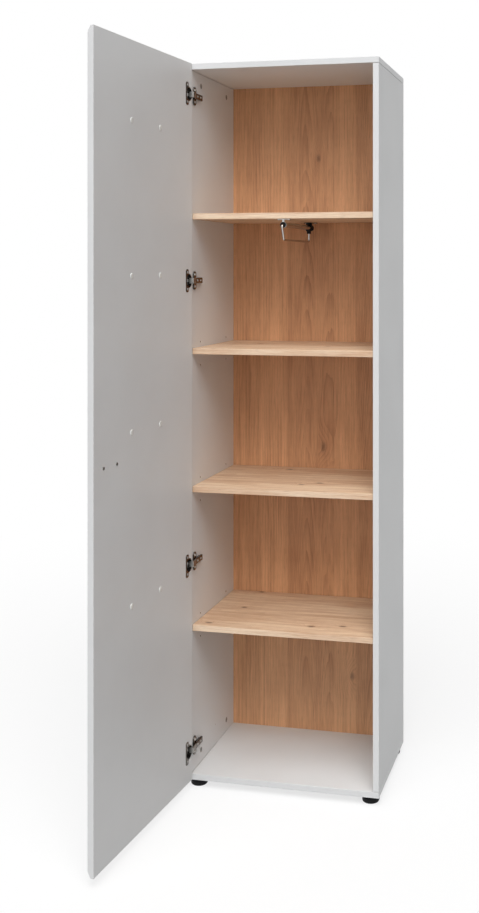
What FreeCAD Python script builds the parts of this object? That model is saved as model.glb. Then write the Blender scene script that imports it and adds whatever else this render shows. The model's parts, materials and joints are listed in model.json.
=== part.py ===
import FreeCAD, Part
import math
import os

# A tall single-door wardrobe with four shelves and a hanger rail.
# Millimetres. X runs to the right, Y to the rear and Z up.
# The origin is on the floor, under the middle of the carcass.

# Overall sizes
width = 536.0
height = 1970.0
depth = 372.0
board = 16.0
foot_height = 22.0

# Clearances
hole_play = 0.05
end_play = 0.5
running_play = 0.05
position_tolerance = 0.01

# Back board and its groove
back_thickness = 3.0
back_inset = 8.0
groove_depth = 5.0
groove_play = 0.1

# Shelves, from the top one down: underside as a share of the inner height
shelf_shares = (0.7874, 0.5956, 0.3991, 0.2019)
shelf_front_inset = 7.0
shelf_side_play = 0.5
shelf_back_play = 1.0

# Shelf pins and the spare holes above and below them
pin_radius = 2.45
pin_in_side = 9.0
pin_past_side = 8.0
pin_front_inset = 72.0
pin_back_inset = 70.0
spare_hole_step = 32.0
fixed_shelf = 0

# Small hole low in the middle of the left side
low_hole_radius = 1.5
low_hole_depth = 8.0
low_hole_share = 0.53
low_hole_height = 58.0

# Cam locks, cam bolts and dowels that join the sides to top and bottom
cam_radius = 7.4
cam_depth = 12.2
cam_to_joint = 34.0
cam_inset = 77.0
cam_slot_past_centre = 3.0
cam_cross_length = 8.0
cam_cross_width = 1.4
cam_cross_depth = 1.5
bolt_radius = 3.0
bolt_thread_radius = 2.45
bolt_play = 0.2
bolt_in_panel = 11.0
dowel_radius = 4.0
dowel_in_side = 19.0
dowel_in_panel = 11.0
dowel_inset = 45.0

# Feet
foot_radius = 23.0
foot_round = 6.0
foot_side_inset = 28.0
foot_end_inset = 32.0
foot_recess_radius = 5.0
foot_recess_depth = 12.0

# Wood screws
screw_radius = 1.75
screw_reach = 11.0
screw_head_radius = 3.5
screw_head_height = 1.4

# Door leaf: the front face slopes back along its top and bottom edges
door_thickness = 16.0
door_gap = 3.0
door_side_gap = 1.5
door_top_gap = 1.0
door_bottom_gap = 3.0
door_open_angle = 94.2
slope_depth = 8.0
slope_height = 17.0
slope_front_round = 12.0
slope_edge_round = 3.0

# Cup hinges: the pin lies in the cup, so that the door edge just clears the side
hinge_end_inset = 86.0
hinge_inner_share = 0.303
swing_clearance = 0.3
pivot_depth = 10.5
hinge_pin_radius = 1.0
hinge_eye_radius = 2.0
cup_radius = 17.4
cup_depth = 13.4
cup_wall = 0.9
cup_floor = 0.6
cup_edge = 4.0
cup_rim_width = 1.6
flange_thickness = 1.2
flange_half_length = 31.0
flange_start = 2.0
flange_end = 19.0
cup_screw_spacing = 45.0
cup_screw_offset = 9.0

# Hinge arms and mounting plates
arm_thickness = 2.5
arm_half_width = 4.0
arm_clearance = 0.8
arm_nose = 12.0
arm_nose_half_width = 7.5
arm_nose_sheet = 1.25
arm_tail = 64.0
arm_channel_start = 12.0
arm_channel_half = 8.0
arm_channel_sheet = 1.2
plate_line = 20.0
plate_wing_length = 20.0
plate_wing_half = 25.0
plate_wing_thickness = 3.5
plate_screw_spacing = 32.0
plate_block_start = 14.0
plate_block_end = 58.0
plate_play = 0.3
arm_screw_radius = 1.5
arm_screw_floor = 2.5
arm_screw_head_radius = 2.8
arm_screw_head_height = 1.0
arm_screw_lines = (27.0, 51.0)

# White screw caps on the inner face of the door
cap_radius = 7.5
cap_height = 1.5
cap_round = 1.0
cap_stem_radius = 2.0
cap_stem_length = 7.0
cap_column_spacing = 156.0
cap_column_offset = 3.0
cap_row_shares = (0.899, 0.705, 0.510, 0.293)

# Bow handle on the front of the door
handle_share = 0.477
handle_edge_inset = 46.0
handle_spacing = 64.0
handle_reach = 25.0
handle_radius = 4.5
handle_bend = 16.0
handle_screw_radius = 2.0
handle_screw_in_post = 8.0
handle_screw_head_radius = 4.0
handle_screw_head_height = 2.0

# Hanger rail under the top shelf
rail_drop = 16.0
rail_start = 27.0
rail_end_gap = 35.0
rail_radius = 7.0
rail_wall = 1.2
bush_radius = 7.6
bush_flange = 4.0
bush_plug = 10.0
bracket_length = 10.0
bracket_collar = 1.8
bracket_plate_half = 20.0
bracket_plate_thickness = 2.0
bracket_post_half = 3.0
bracket_screw_spacing = 28.0
rod_radius = 2.75
rod_bend = 6.0
rod_nose = 12.0
rod_heel = 33.0
rod_drop = 41.0
rod_tail_inset = 5.0
slider_end_gap = 21.0
slider_length = 10.0
slider_half_width = 8.0
slider_above = 13.5
slider_below = 10.0
slider_foot_half_width = 5.0
slider_foot_height = 7.5
slider_round = 3.0
rod_in_slider = 8.0

# Derived planes and lines
left = -width / 2
inner_left = left + board
side_middle = left + board / 2
front = -depth / 2
rear = depth / 2
carcass_height = height - foot_height
bottom_top = foot_height + board
top_bottom = height - board
inner_height = top_bottom - bottom_top
back_face = rear - back_inset - back_thickness
shelf_undersides = [bottom_top + share * inner_height for share in shelf_shares]
pin_lines = (front + pin_front_inset, back_face - pin_back_inset)
door_edge = left + door_side_gap
door_free = -door_edge
door_inner = front - door_gap
door_outer = door_inner - door_thickness
door_low = foot_height + door_bottom_gap
door_high = height - door_top_gap
pivot_edge = math.sqrt((pivot_depth + door_gap - swing_clearance) ** 2 - pivot_depth ** 2)
pivot_x = door_edge + pivot_edge
pivot_y = door_inner - pivot_depth
turn = math.radians(door_open_angle)
open_inner_x = pivot_x - pivot_edge * math.cos(turn) + pivot_depth * math.sin(turn)
arm_clear_of_door = open_inner_x + flange_thickness + arm_clearance
arm_clear_of_wing = inner_left + plate_wing_thickness + plate_play
arm_x = max(arm_clear_of_door, arm_clear_of_wing)
cup_x = door_edge + cup_edge + cup_radius
cup_screw_x = cup_x + cup_screw_offset
hinge_heights = (
    height - hinge_end_inset,
    height - hinge_inner_share * carcass_height,
    foot_height + hinge_inner_share * carcass_height,
    foot_height + hinge_end_inset,
)
rail_z = shelf_undersides[0] - rail_drop
rail_front = front + rail_start
rail_rear = back_face - rail_end_gap
rail_length = rail_rear - rail_front
slider_rear = rail_rear - slider_end_gap
rod_tail = slider_rear - rod_tail_inset

ORIGIN = FreeCAD.Vector(0, 0, 0)
RIGHT = FreeCAD.Vector(1, 0, 0)
LEFT = FreeCAD.Vector(-1, 0, 0)
BACK = FreeCAD.Vector(0, 1, 0)
AHEAD = FreeCAD.Vector(0, -1, 0)
UP = FreeCAD.Vector(0, 0, 1)


def point(x, y, z):
    return FreeCAD.Vector(x, y, z)


def block(x, y, z):
    size = (x[1] - x[0], y[1] - y[0], z[1] - z[0])
    return Part.makeBox(*size, point(x[0], y[0], z[0]))


def rod(radius, start, direction, length):
    return Part.makeCylinder(radius, length, start, direction)


def mirrored(shape):
    return shape.mirror(ORIGIN, RIGHT)


def both_sides(shapes):
    return shapes + [mirrored(shape) for shape in shapes]


def joined(shapes):
    return shapes[0].multiFuse(shapes[1:]).removeSplitter()


def screw(start, inward, reach, radius, head_radius, head_height):
    shank = rod(radius, start, inward, reach)
    head = rod(head_radius, start, inward * -1, head_height)
    return joined([shank, head])


def wood_screw(start, inward, reach):
    return screw(start, inward, reach, screw_radius, screw_head_radius, screw_head_height)


def bent_rod(points, bend, radius):
    edges = []
    last = points[0]
    for before, corner, after in zip(points, points[1:], points[2:]):
        back_along = (before - corner).normalize()
        onward = (after - corner).normalize()
        half_angle = back_along.getAngle(onward) / 2
        tangent = bend / math.tan(half_angle)
        start = corner + back_along * tangent
        end = corner + onward * tangent
        bisector = (back_along + onward).normalize()
        middle = corner + bisector * (bend / math.sin(half_angle) - bend)
        edges.append(Part.LineSegment(last, start).toShape())
        edges.append(Part.Arc(start, middle, end).toShape())
        last = end
    edges.append(Part.LineSegment(last, points[-1]).toShape())
    ring = Part.Circle(points[0], points[1] - points[0], radius).toShape()
    return Part.Wire(edges).makePipeShell([Part.Wire([ring])], True, True)


def edges_at(shape, y, z):
    found = []
    for edge in shape.Edges:
        ends = [vertex.Point for vertex in edge.Vertexes]
        if all(end.isEqual(point(end.x, y, z), position_tolerance) for end in ends):
            found.append(edge)
    return found


def swung(shape):
    return shape.rotated(point(pivot_x, pivot_y, 0), UP, -door_open_angle)


# Joints between the left side and the top and bottom boards
cam_locks = []
cam_bolts = []
wood_dowels = []
side_cuts = []
top_cuts = []
bottom_cuts = []
for joint_z, away, panel_cuts in ((top_bottom, 1, top_cuts), (bottom_top, -1, bottom_cuts)):
    outward = UP * away
    cam_z = joint_z - away * cam_to_joint
    for cam_y in (front + cam_inset, rear - cam_inset):
        cam_face = point(inner_left, cam_y, cam_z)
        bolt_tip = point(side_middle, cam_y, cam_z)
        bolt_joint = point(side_middle, cam_y, joint_z)
        cam = rod(cam_radius, cam_face, LEFT, cam_depth)
        slot_half = bolt_radius + bolt_play
        slot_ends = sorted((cam_z - away * cam_slot_past_centre, cam_z + away * cam_radius))
        slot = block(
            (side_middle - slot_half, side_middle + slot_half),
            (cam_y - slot_half, cam_y + slot_half),
            slot_ends,
        )
        recess = (inner_left - cam_cross_depth, inner_left)
        cross_half = cam_cross_length / 2
        cross_wide = cam_cross_width / 2
        upright = block(
            recess,
            (cam_y - cross_wide, cam_y + cross_wide),
            (cam_z - cross_half, cam_z + cross_half),
        )
        level = block(
            recess,
            (cam_y - cross_half, cam_y + cross_half),
            (cam_z - cross_wide, cam_z + cross_wide),
        )
        cam_locks.append(cam.cut([slot, upright, level]))
        neck = rod(bolt_radius, bolt_tip, outward, cam_to_joint)
        thread = rod(bolt_thread_radius, bolt_joint, outward, bolt_in_panel)
        cam_bolts.append(joined([neck, thread]))
        side_cuts.append(rod(cam_radius + hole_play, cam_face, LEFT, cam_depth + end_play))
        side_cuts.append(rod(bolt_radius + bolt_play, bolt_tip, outward, cam_to_joint))
        panel_cuts.append(
            rod(bolt_thread_radius + hole_play, bolt_joint, outward, bolt_in_panel + end_play)
        )
    for dowel_y in (front + dowel_inset, rear - dowel_inset):
        dowel_joint = point(side_middle, dowel_y, joint_z)
        dowel_low = dowel_joint - outward * dowel_in_side
        wood_dowels.append(rod(dowel_radius, dowel_low, outward, dowel_in_side + dowel_in_panel))
        hole_radius = dowel_radius + hole_play
        side_cuts.append(rod(hole_radius, dowel_joint, outward * -1, dowel_in_side + end_play))
        panel_cuts.append(rod(hole_radius, dowel_joint, outward, dowel_in_panel + end_play))

# Shelf pins with their holes; the fixed shelf hides its pins in its ends
shelf_pins = []
fixed_shelf_holes = []
for number, underside in enumerate(shelf_undersides):
    fixed = number == fixed_shelf
    pin_z = underside + board / 2 if fixed else underside - pin_radius
    steps = (0,) if fixed else (-1, 0, 1)
    hole_radius = pin_radius + hole_play
    for pin_y in pin_lines:
        pin_end = point(inner_left - pin_in_side, pin_y, pin_z)
        shelf_pins.append(rod(pin_radius, pin_end, RIGHT, pin_in_side + pin_past_side))
        for step in steps:
            hole = point(inner_left, pin_y, pin_z + step * spare_hole_step)
            side_cuts.append(rod(hole_radius, hole, LEFT, pin_in_side + end_play))
        if fixed:
            hole = point(inner_left, pin_y, pin_z)
            fixed_shelf_holes.append(rod(hole_radius, hole, RIGHT, pin_past_side + end_play))

# Groove for the back board
groove_y = (back_face - groove_play, back_face + back_thickness + groove_play)
groove_x = (inner_left - groove_depth, -inner_left + groove_depth)
side_cuts.append(block((groove_x[0], inner_left), groove_y, (bottom_top, top_bottom)))
top_groove = block(groove_x, groove_y, (top_bottom, top_bottom + groove_depth))
bottom_groove = block(groove_x, groove_y, (bottom_top - groove_depth, bottom_top))
back_panel = block(
    (groove_x[0] + end_play, groove_x[1] - end_play),
    (back_face, back_face + back_thickness),
    (bottom_top - groove_depth + end_play, top_bottom + groove_depth - end_play),
)

# Hinge plates, arms, cups and pins
plate_y = front + plate_line
hinge_plates = []
hinge_arms = []
hinge_cups = []
hinge_pins = []
plate_screws = []
arm_screws = []
cup_screws = []
plate_holes = []
door_cuts = []
for hinge_z in hinge_heights:
    block_half = arm_channel_half - arm_channel_sheet - plate_play
    wing = block(
        (inner_left, inner_left + plate_wing_thickness),
        (plate_y - plate_wing_length / 2, plate_y + plate_wing_length / 2),
        (hinge_z - plate_wing_half, hinge_z + plate_wing_half),
    )
    seat = block(
        (inner_left, arm_x),
        (front + plate_block_start, front + plate_block_end),
        (hinge_z - block_half, hinge_z + block_half),
    )
    plate = joined([wing, seat])
    wing_holes = []
    for offset in (-plate_screw_spacing / 2, plate_screw_spacing / 2):
        start = point(inner_left + plate_wing_thickness, plate_y, hinge_z + offset)
        reach = plate_wing_thickness + screw_reach
        plate_screws.append(wood_screw(start, LEFT, reach))
        wing_holes.append(rod(screw_radius + hole_play, start, LEFT, reach + end_play))
    plate_holes.extend(wing_holes)

    eye = rod(
        hinge_eye_radius,
        point(pivot_x, pivot_y, hinge_z - arm_half_width),
        UP,
        2 * arm_half_width,
    )
    web_y = (pivot_y - arm_thickness / 2, pivot_y + arm_thickness / 2)
    arm_z = (hinge_z - arm_half_width, hinge_z + arm_half_width)
    arm_top = arm_x + arm_thickness
    web = block((pivot_x, arm_top), web_y, arm_z)
    channel_y = (front + arm_channel_start, front + arm_tail)
    nose_x = inner_left + arm_nose
    nose_rear = web_y[0] + arm_nose_sheet
    nose_low = hinge_z - arm_nose_half_width
    nose_outline = Part.makePolygon(
        [
            point(inner_left, web_y[0], nose_low),
            point(nose_x, web_y[0], nose_low),
            point(arm_top, channel_y[0], nose_low),
            point(arm_x, channel_y[0], nose_low),
            point(nose_x - arm_thickness, nose_rear, nose_low),
            point(inner_left, nose_rear, nose_low),
            point(inner_left, web_y[0], nose_low),
        ]
    )
    nose = Part.Face(nose_outline).extrude(UP * (2 * arm_nose_half_width))
    channel_z = (hinge_z - arm_channel_half, hinge_z + arm_channel_half)
    channel = block((arm_x, arm_top), channel_y, channel_z)
    cheek_x = (inner_left + plate_wing_thickness + plate_play, arm_top)
    lower_cheek = block(cheek_x, channel_y, (channel_z[0], channel_z[0] + arm_channel_sheet))
    upper_cheek = block(cheek_x, channel_y, (channel_z[1] - arm_channel_sheet, channel_z[1]))
    eye_bore = rod(
        hinge_pin_radius + running_play,
        point(pivot_x, pivot_y, hinge_z - arm_half_width),
        UP,
        2 * arm_half_width,
    )
    arm_holes = []
    for line in arm_screw_lines:
        start = point(arm_top, front + line, hinge_z)
        reach = arm_top - inner_left - arm_screw_floor
        arm_screws.append(
            screw(
                start,
                LEFT,
                reach,
                arm_screw_radius,
                arm_screw_head_radius,
                arm_screw_head_height,
            )
        )
        arm_holes.append(rod(arm_screw_radius + hole_play, start, LEFT, reach + end_play))
    hinge_plates.append(plate.cut(wing_holes + arm_holes))
    arm = joined([eye, web, nose, channel, lower_cheek, upper_cheek])
    hinge_arms.append(arm.cut([eye_bore] + arm_holes))

    cup_mouth = point(cup_x, door_inner, hinge_z)
    cup_lip = point(cup_x, door_inner + flange_thickness, hinge_z)
    cup_body = rod(cup_radius, cup_mouth, AHEAD, cup_depth)
    rim = rod(cup_radius + cup_rim_width, cup_mouth, BACK, flange_thickness)
    ears = block(
        (cup_x + flange_start, cup_x + flange_end),
        (door_inner, door_inner + flange_thickness),
        (hinge_z - flange_half_length, hinge_z + flange_half_length),
    )
    hollow = rod(cup_radius - cup_wall, cup_lip, AHEAD, flange_thickness + cup_depth - cup_floor)
    ear_holes = []
    for offset in (-cup_screw_spacing / 2, cup_screw_spacing / 2):
        start = point(cup_screw_x, door_inner + flange_thickness, hinge_z + offset)
        reach = flange_thickness + screw_reach
        cup_screws.append(wood_screw(start, AHEAD, reach))
        ear_holes.append(rod(screw_radius + hole_play, start, AHEAD, reach + end_play))
    hinge_cups.append(joined([cup_body, rim, ears]).cut([hollow] + ear_holes))
    door_cuts.append(rod(cup_radius + hole_play, cup_mouth, AHEAD, cup_depth + hole_play))
    door_cuts.extend(ear_holes)
    pin_start = point(pivot_x, pivot_y, hinge_z - cup_radius)
    long_pin = rod(hinge_pin_radius, pin_start, UP, 2 * cup_radius)
    hinge_pins.append(long_pin.common(hollow))

# Door leaf, handle and screw caps, first in the closed position
profile = Part.makePolygon(
    [
        point(door_edge, door_inner, door_low),
        point(door_edge, door_outer + slope_depth, door_low),
        point(door_edge, door_outer, door_low + slope_height),
        point(door_edge, door_outer, door_high - slope_height),
        point(door_edge, door_outer + slope_depth, door_high),
        point(door_edge, door_inner, door_high),
        point(door_edge, door_inner, door_low),
    ]
)
leaf = Part.Face(profile).extrude(RIGHT * (door_free - door_edge))
for slope_y, low_z, high_z, round_radius in (
    (door_outer, door_low + slope_height, door_high - slope_height, slope_front_round),
    (door_outer + slope_depth, door_low, door_high, slope_edge_round),
):
    rounded = edges_at(leaf, slope_y, low_z) + edges_at(leaf, slope_y, high_z)
    leaf = leaf.makeFillet(round_radius, rounded)

screw_caps = []
door_middle = (door_edge + door_free) / 2 + cap_column_offset
for share in cap_row_shares:
    for offset in (-cap_column_spacing / 2, cap_column_spacing / 2):
        cap_foot = point(door_middle + offset, door_inner, foot_height + share * carcass_height)
        disc = rod(cap_radius, cap_foot, BACK, cap_height)
        cap_top = door_inner + cap_height - position_tolerance
        top_edges = [edge for edge in disc.Edges if edge.BoundBox.YMin > cap_top]
        stem = rod(cap_stem_radius, cap_foot, AHEAD, cap_stem_length)
        screw_caps.append(joined([disc.makeFillet(cap_round, top_edges), stem]))
        door_cuts.append(
            rod(cap_stem_radius + hole_play, cap_foot, AHEAD, cap_stem_length + end_play)
        )

handle_z = foot_height + handle_share * carcass_height
handle_outer_x = door_free - handle_edge_inset
handle_inner_x = handle_outer_x - handle_spacing
handle = bent_rod(
    [
        point(handle_inner_x, door_outer, handle_z),
        point(handle_inner_x, door_outer - handle_reach, handle_z),
        point(handle_outer_x, door_outer - handle_reach, handle_z),
        point(handle_outer_x, door_outer, handle_z),
    ],
    handle_bend,
    handle_radius,
)
handle_screws = []
handle_cuts = []
for handle_x in (handle_inner_x, handle_outer_x):
    start = point(handle_x, door_inner, handle_z)
    reach = door_thickness + handle_screw_in_post
    handle_screws.append(
        screw(
            start,
            AHEAD,
            reach,
            handle_screw_radius,
            handle_screw_head_radius,
            handle_screw_head_height,
        )
    )
    handle_cuts.append(rod(handle_screw_radius + hole_play, start, AHEAD, reach + end_play))
handle = handle.cut(handle_cuts)
door_leaf = leaf.cut(door_cuts + handle_cuts)

# Sides, top, bottom and shelves
left_board = block((left, inner_left), (front, rear), (bottom_top, top_bottom))
low_hole = rod(
    low_hole_radius,
    point(inner_left, front + low_hole_share * depth, bottom_top + low_hole_height),
    LEFT,
    low_hole_depth,
)
side_left = left_board.cut(side_cuts + plate_holes + [low_hole])
side_right = mirrored(left_board.cut(side_cuts))
full_width = (left, -left)
full_depth = (front, rear)
top_board = block(full_width, full_depth, (top_bottom, height))
top_panel = top_board.cut(both_sides(top_cuts) + [top_groove])
bottom_board = block(full_width, full_depth, (foot_height, bottom_top))

shelf_x = (inner_left + shelf_side_play, -inner_left - shelf_side_play)
shelf_y = (front + shelf_front_inset, back_face - shelf_back_play)
shelves = [block(shelf_x, shelf_y, (low, low + board)) for low in shelf_undersides]
shelves[fixed_shelf] = shelves[fixed_shelf].cut(both_sides(fixed_shelf_holes))

# Feet and their screws
feet = {}
foot_screws = []
foot_holes = []
for end_name, foot_y in (("front", front + foot_end_inset), ("rear", rear - foot_end_inset)):
    for side_name, foot_x in (
        ("left", left + foot_side_inset),
        ("right", -left - foot_side_inset),
    ):
        floor_point = point(foot_x, foot_y, 0)
        recess_top = point(foot_x, foot_y, foot_recess_depth)
        puck = rod(foot_radius, floor_point, UP, foot_height)
        lower_edges = [edge for edge in puck.Edges if edge.BoundBox.ZMax < position_tolerance]
        head_recess = rod(foot_recess_radius, floor_point, UP, foot_recess_depth)
        reach = foot_height - foot_recess_depth + screw_reach
        shank_hole = rod(screw_radius + hole_play, recess_top, UP, reach + end_play)
        rounded_puck = puck.makeFillet(foot_round, lower_edges)
        feet["foot_" + end_name + "_" + side_name] = rounded_puck.cut([head_recess, shank_hole])
        foot_screws.append(wood_screw(recess_top, UP, reach))
        foot_holes.append(shank_hole)
bottom_panel = bottom_board.cut(both_sides(bottom_cuts) + [bottom_groove] + foot_holes)

# Hanger rail
rail_axis = point(0, rail_front, rail_z)
rail_tube = rod(rail_radius, rail_axis, BACK, rail_length).cut(
    rod(rail_radius - rail_wall, rail_axis, BACK, rail_length)
)
bush_collar = rod(bush_radius, rail_axis, AHEAD, bush_flange)
bush_core = rod(rail_radius - rail_wall - hole_play, rail_axis, BACK, bush_plug)
bush_bore = rod(
    rod_radius + running_play,
    rail_axis + AHEAD * bush_flange,
    BACK,
    bush_flange + bush_plug,
)
rail_bush = joined([bush_collar, bush_core]).cut(bush_bore)

rail_brackets = []
rail_screws = []
shelf_holes = []
bracket_starts = (rail_front, rail_rear - bracket_length)
for bracket_start in bracket_starts:
    bracket_y = (bracket_start, bracket_start + bracket_length)
    bracket_middle = bracket_start + bracket_length / 2
    bracket_axis = point(0, bracket_start, rail_z)
    shelf_under = shelf_undersides[0]
    collar_radius = rail_radius + bracket_collar
    bracket_plate = block(
        (-bracket_plate_half, bracket_plate_half),
        bracket_y,
        (shelf_under - bracket_plate_thickness, shelf_under),
    )
    post = block((-bracket_post_half, bracket_post_half), bracket_y, (rail_z, shelf_under))
    collar = rod(collar_radius, bracket_axis, BACK, bracket_length)
    bracket_cuts = [rod(rail_radius + hole_play, bracket_axis, BACK, bracket_length)]
    for offset in (-bracket_screw_spacing / 2, bracket_screw_spacing / 2):
        start = point(offset, bracket_middle, shelf_under - bracket_plate_thickness)
        reach = bracket_plate_thickness + screw_reach
        rail_screws.append(wood_screw(start, UP, reach))
        hole = rod(screw_radius + hole_play, start, UP, reach + end_play)
        bracket_cuts.append(hole)
        shelf_holes.append(hole)
    rail_brackets.append(joined([bracket_plate, post, collar]).cut(bracket_cuts))
shelves[0] = shelves[0].cut(shelf_holes)

slider_low = rail_z - slider_below
slider_foot_low = slider_low - slider_foot_height
rod_low = rail_z - rod_drop
rail_loop = bent_rod(
    [
        point(0, rod_tail, rail_z),
        point(0, front + rod_nose, rail_z),
        point(0, front + rod_heel, rod_low),
        point(0, rod_tail, rod_low),
        point(0, rod_tail, slider_foot_low + rod_in_slider),
    ],
    rod_bend,
    rod_radius,
)
slider_y = (slider_rear - slider_length, slider_rear)
slider_body = block(
    (-slider_half_width, slider_half_width),
    slider_y,
    (slider_low, rail_z + slider_above),
)
long_edges = [
    edge
    for edge in slider_body.Edges
    if abs(edge.Length - slider_length) < position_tolerance
]
slider_bore = rod(
    rail_radius + running_play,
    point(0, slider_y[0], rail_z),
    BACK,
    slider_length,
)
slider_socket = rod(
    rod_radius + hole_play,
    point(0, rod_tail, slider_foot_low),
    UP,
    rod_in_slider + end_play,
)
slider_foot = block(
    (-slider_foot_half_width, slider_foot_half_width),
    slider_y,
    (slider_foot_low, slider_low),
)
slider_solid = joined([slider_body.makeFillet(slider_round, long_edges), slider_foot])
rail_slider = slider_solid.cut([slider_bore, slider_socket])

# Every node, with the door pieces swung open
nodes = {
    "side_left": side_left,
    "side_right": side_right,
    "top_panel": top_panel,
    "bottom_panel": bottom_panel,
    "back_panel": back_panel,
    "shelf_pins": Part.makeCompound(both_sides(shelf_pins)),
    "cam_locks": Part.makeCompound(both_sides(cam_locks)),
    "cam_bolts": Part.makeCompound(both_sides(cam_bolts)),
    "wood_dowels": Part.makeCompound(both_sides(wood_dowels)),
    "foot_screws": Part.makeCompound(foot_screws),
    "plate_screws": Part.makeCompound(plate_screws),
    "arm_screws": Part.makeCompound(arm_screws),
    "rail_tube": rail_tube,
    "rail_bush": rail_bush,
    "rail_bracket_front": rail_brackets[0],
    "rail_bracket_rear": rail_brackets[1],
    "rail_screws": Part.makeCompound(rail_screws),
    "rail_loop": rail_loop,
    "rail_slider": rail_slider,
    "door_leaf": swung(door_leaf),
    "hinge_pins": swung(Part.makeCompound(hinge_pins)),
    "cup_screws": swung(Part.makeCompound(cup_screws)),
    "screw_caps": swung(Part.makeCompound(screw_caps)),
    "handle": swung(handle),
    "handle_screws": swung(Part.makeCompound(handle_screws)),
}
nodes.update(feet)
for number, shelf in enumerate(shelves, 1):
    nodes["shelf_" + str(number)] = shelf
for number, (plate, arm, cup) in enumerate(zip(hinge_plates, hinge_arms, hinge_cups), 1):
    nodes["hinge_plate_" + str(number)] = plate
    nodes["hinge_arm_" + str(number)] = arm
    nodes["hinge_cup_" + str(number)] = swung(cup)

os.makedirs("parts", exist_ok=True)
for name, shape in nodes.items():
    shape.exportStep("parts/" + name + ".step")
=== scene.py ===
import json
import math

import bpy
from mathutils import Matrix, Vector


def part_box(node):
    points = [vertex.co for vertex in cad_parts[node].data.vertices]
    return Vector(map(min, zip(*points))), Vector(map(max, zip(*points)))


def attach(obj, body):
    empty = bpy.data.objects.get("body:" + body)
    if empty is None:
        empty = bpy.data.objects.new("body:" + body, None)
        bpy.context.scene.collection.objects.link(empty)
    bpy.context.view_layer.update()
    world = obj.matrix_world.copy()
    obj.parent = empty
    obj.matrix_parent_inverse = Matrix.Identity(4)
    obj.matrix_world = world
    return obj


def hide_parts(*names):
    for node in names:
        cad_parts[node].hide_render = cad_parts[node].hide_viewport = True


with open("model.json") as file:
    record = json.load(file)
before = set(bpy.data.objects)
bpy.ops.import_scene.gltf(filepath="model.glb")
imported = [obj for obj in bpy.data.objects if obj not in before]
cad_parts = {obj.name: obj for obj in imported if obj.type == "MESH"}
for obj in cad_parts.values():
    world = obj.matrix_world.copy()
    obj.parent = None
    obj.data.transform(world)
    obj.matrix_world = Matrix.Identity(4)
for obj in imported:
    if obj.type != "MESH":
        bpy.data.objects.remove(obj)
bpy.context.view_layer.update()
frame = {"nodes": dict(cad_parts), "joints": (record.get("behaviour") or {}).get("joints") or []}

bl_info = {
    "name": "Hall wardrobe",
    "version": (1, 0, 0),
    "blender": (4, 5, 0),
    "location": "3D View > Sidebar > Wardrobe",
    "description": "Dresses the frame of a tall wardrobe with its boards, fittings and finishes",
    "category": "Add Mesh",
}

CARCASS, DOOR = "carcass", "door"
HINGES = (1, 2, 3, 4)
AXES = range(3)
UP = Vector((0.0, 0.0, 1.0))
RIGHT = Vector((1.0, 0.0, 0.0))
BACK = Vector((0.0, 1.0, 0.0))

# How near two places count as one, and the widest sliver that is closed after a cut
NEAR = 0.00002
SLIVER = 0.000004

# Least share of a normal in the way its face looks or leans, and of an edge in the way it runs
LOOKS, LEANS, RUNS = 0.9, 0.5, 0.999

# The door is modelled shut and then swung to its place in the frame
DOOR_JOINT = frame["joints"][0]
PIVOT = Vector(DOOR_JOINT["pos_m"])
DOOR_TURN = Matrix.Rotation(-math.radians(DOOR_JOINT["range_deg"][0]), 4, Vector(DOOR_JOINT["axis"]))
OPEN_DOOR = Matrix.Translation(PIVOT) @ DOOR_TURN @ Matrix.Translation(-PIVOT)
SHUT_DOOR = OPEN_DOOR.inverted()


# Sizes and colours

def length(name, description, default):
    return bpy.props.FloatProperty(
        name=name, description=description, default=default, min=0.0, precision=4, unit="LENGTH",
    )


def amount(name, description, default):
    return bpy.props.FloatProperty(name=name, description=description, default=default, min=0.0)


def location(name, description, default):
    return bpy.props.FloatVectorProperty(
        name=name, description=description, default=default, subtype="TRANSLATION", unit="LENGTH",
    )


def tint(name, description, default):
    return bpy.props.FloatVectorProperty(
        name=name, description=description, default=default, min=0.0, max=1.0, subtype="COLOR",
    )


class WardrobeBoards(bpy.types.PropertyGroup):
    edge_round: length("Edge rounding", "Rounding of the banded board edges", 0.0007)
    seam: length("Seam", "Dark seam between the sides and the top and bottom boards", 0.0010)
    hole_step: length("Hole step", "Height from a shelf pin to the spare hole above or below it", 0.032)
    hole_play: length("Hole play", "Room round the pieces that sit in holes and grooves", 0.0001)
    hole_depth: length("Hole depth", "Depth of the shelf pin holes", 0.0095)
    cam_hole_depth: length("Cam hole depth", "Depth of the holes for the cam locks", 0.0127)
    pilot_height: length("Pilot height", "Height of the small hole low on the left side", 0.096)
    pilot_from_front: length("Pilot place", "Depth of the small hole from the front edge", 0.1972)
    pilot_radius: length("Pilot radius", "Radius of the small hole low on the left side", 0.0015)
    groove_depth: length("Groove depth", "Depth of the groove for the back board", 0.005)
    slope_depth: length("Slope depth", "How far the door front falls back along top and bottom", 0.008)
    slope_height: length("Slope height", "Height of the sloped strip along the door's top and bottom", 0.017)
    slope_front_round: length("Slope front", "Setback of the rounding at the front of the slope", 0.0027)
    slope_edge_round: length("Slope end", "Setback of the rounding at the end of the slope", 0.0019)


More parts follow.
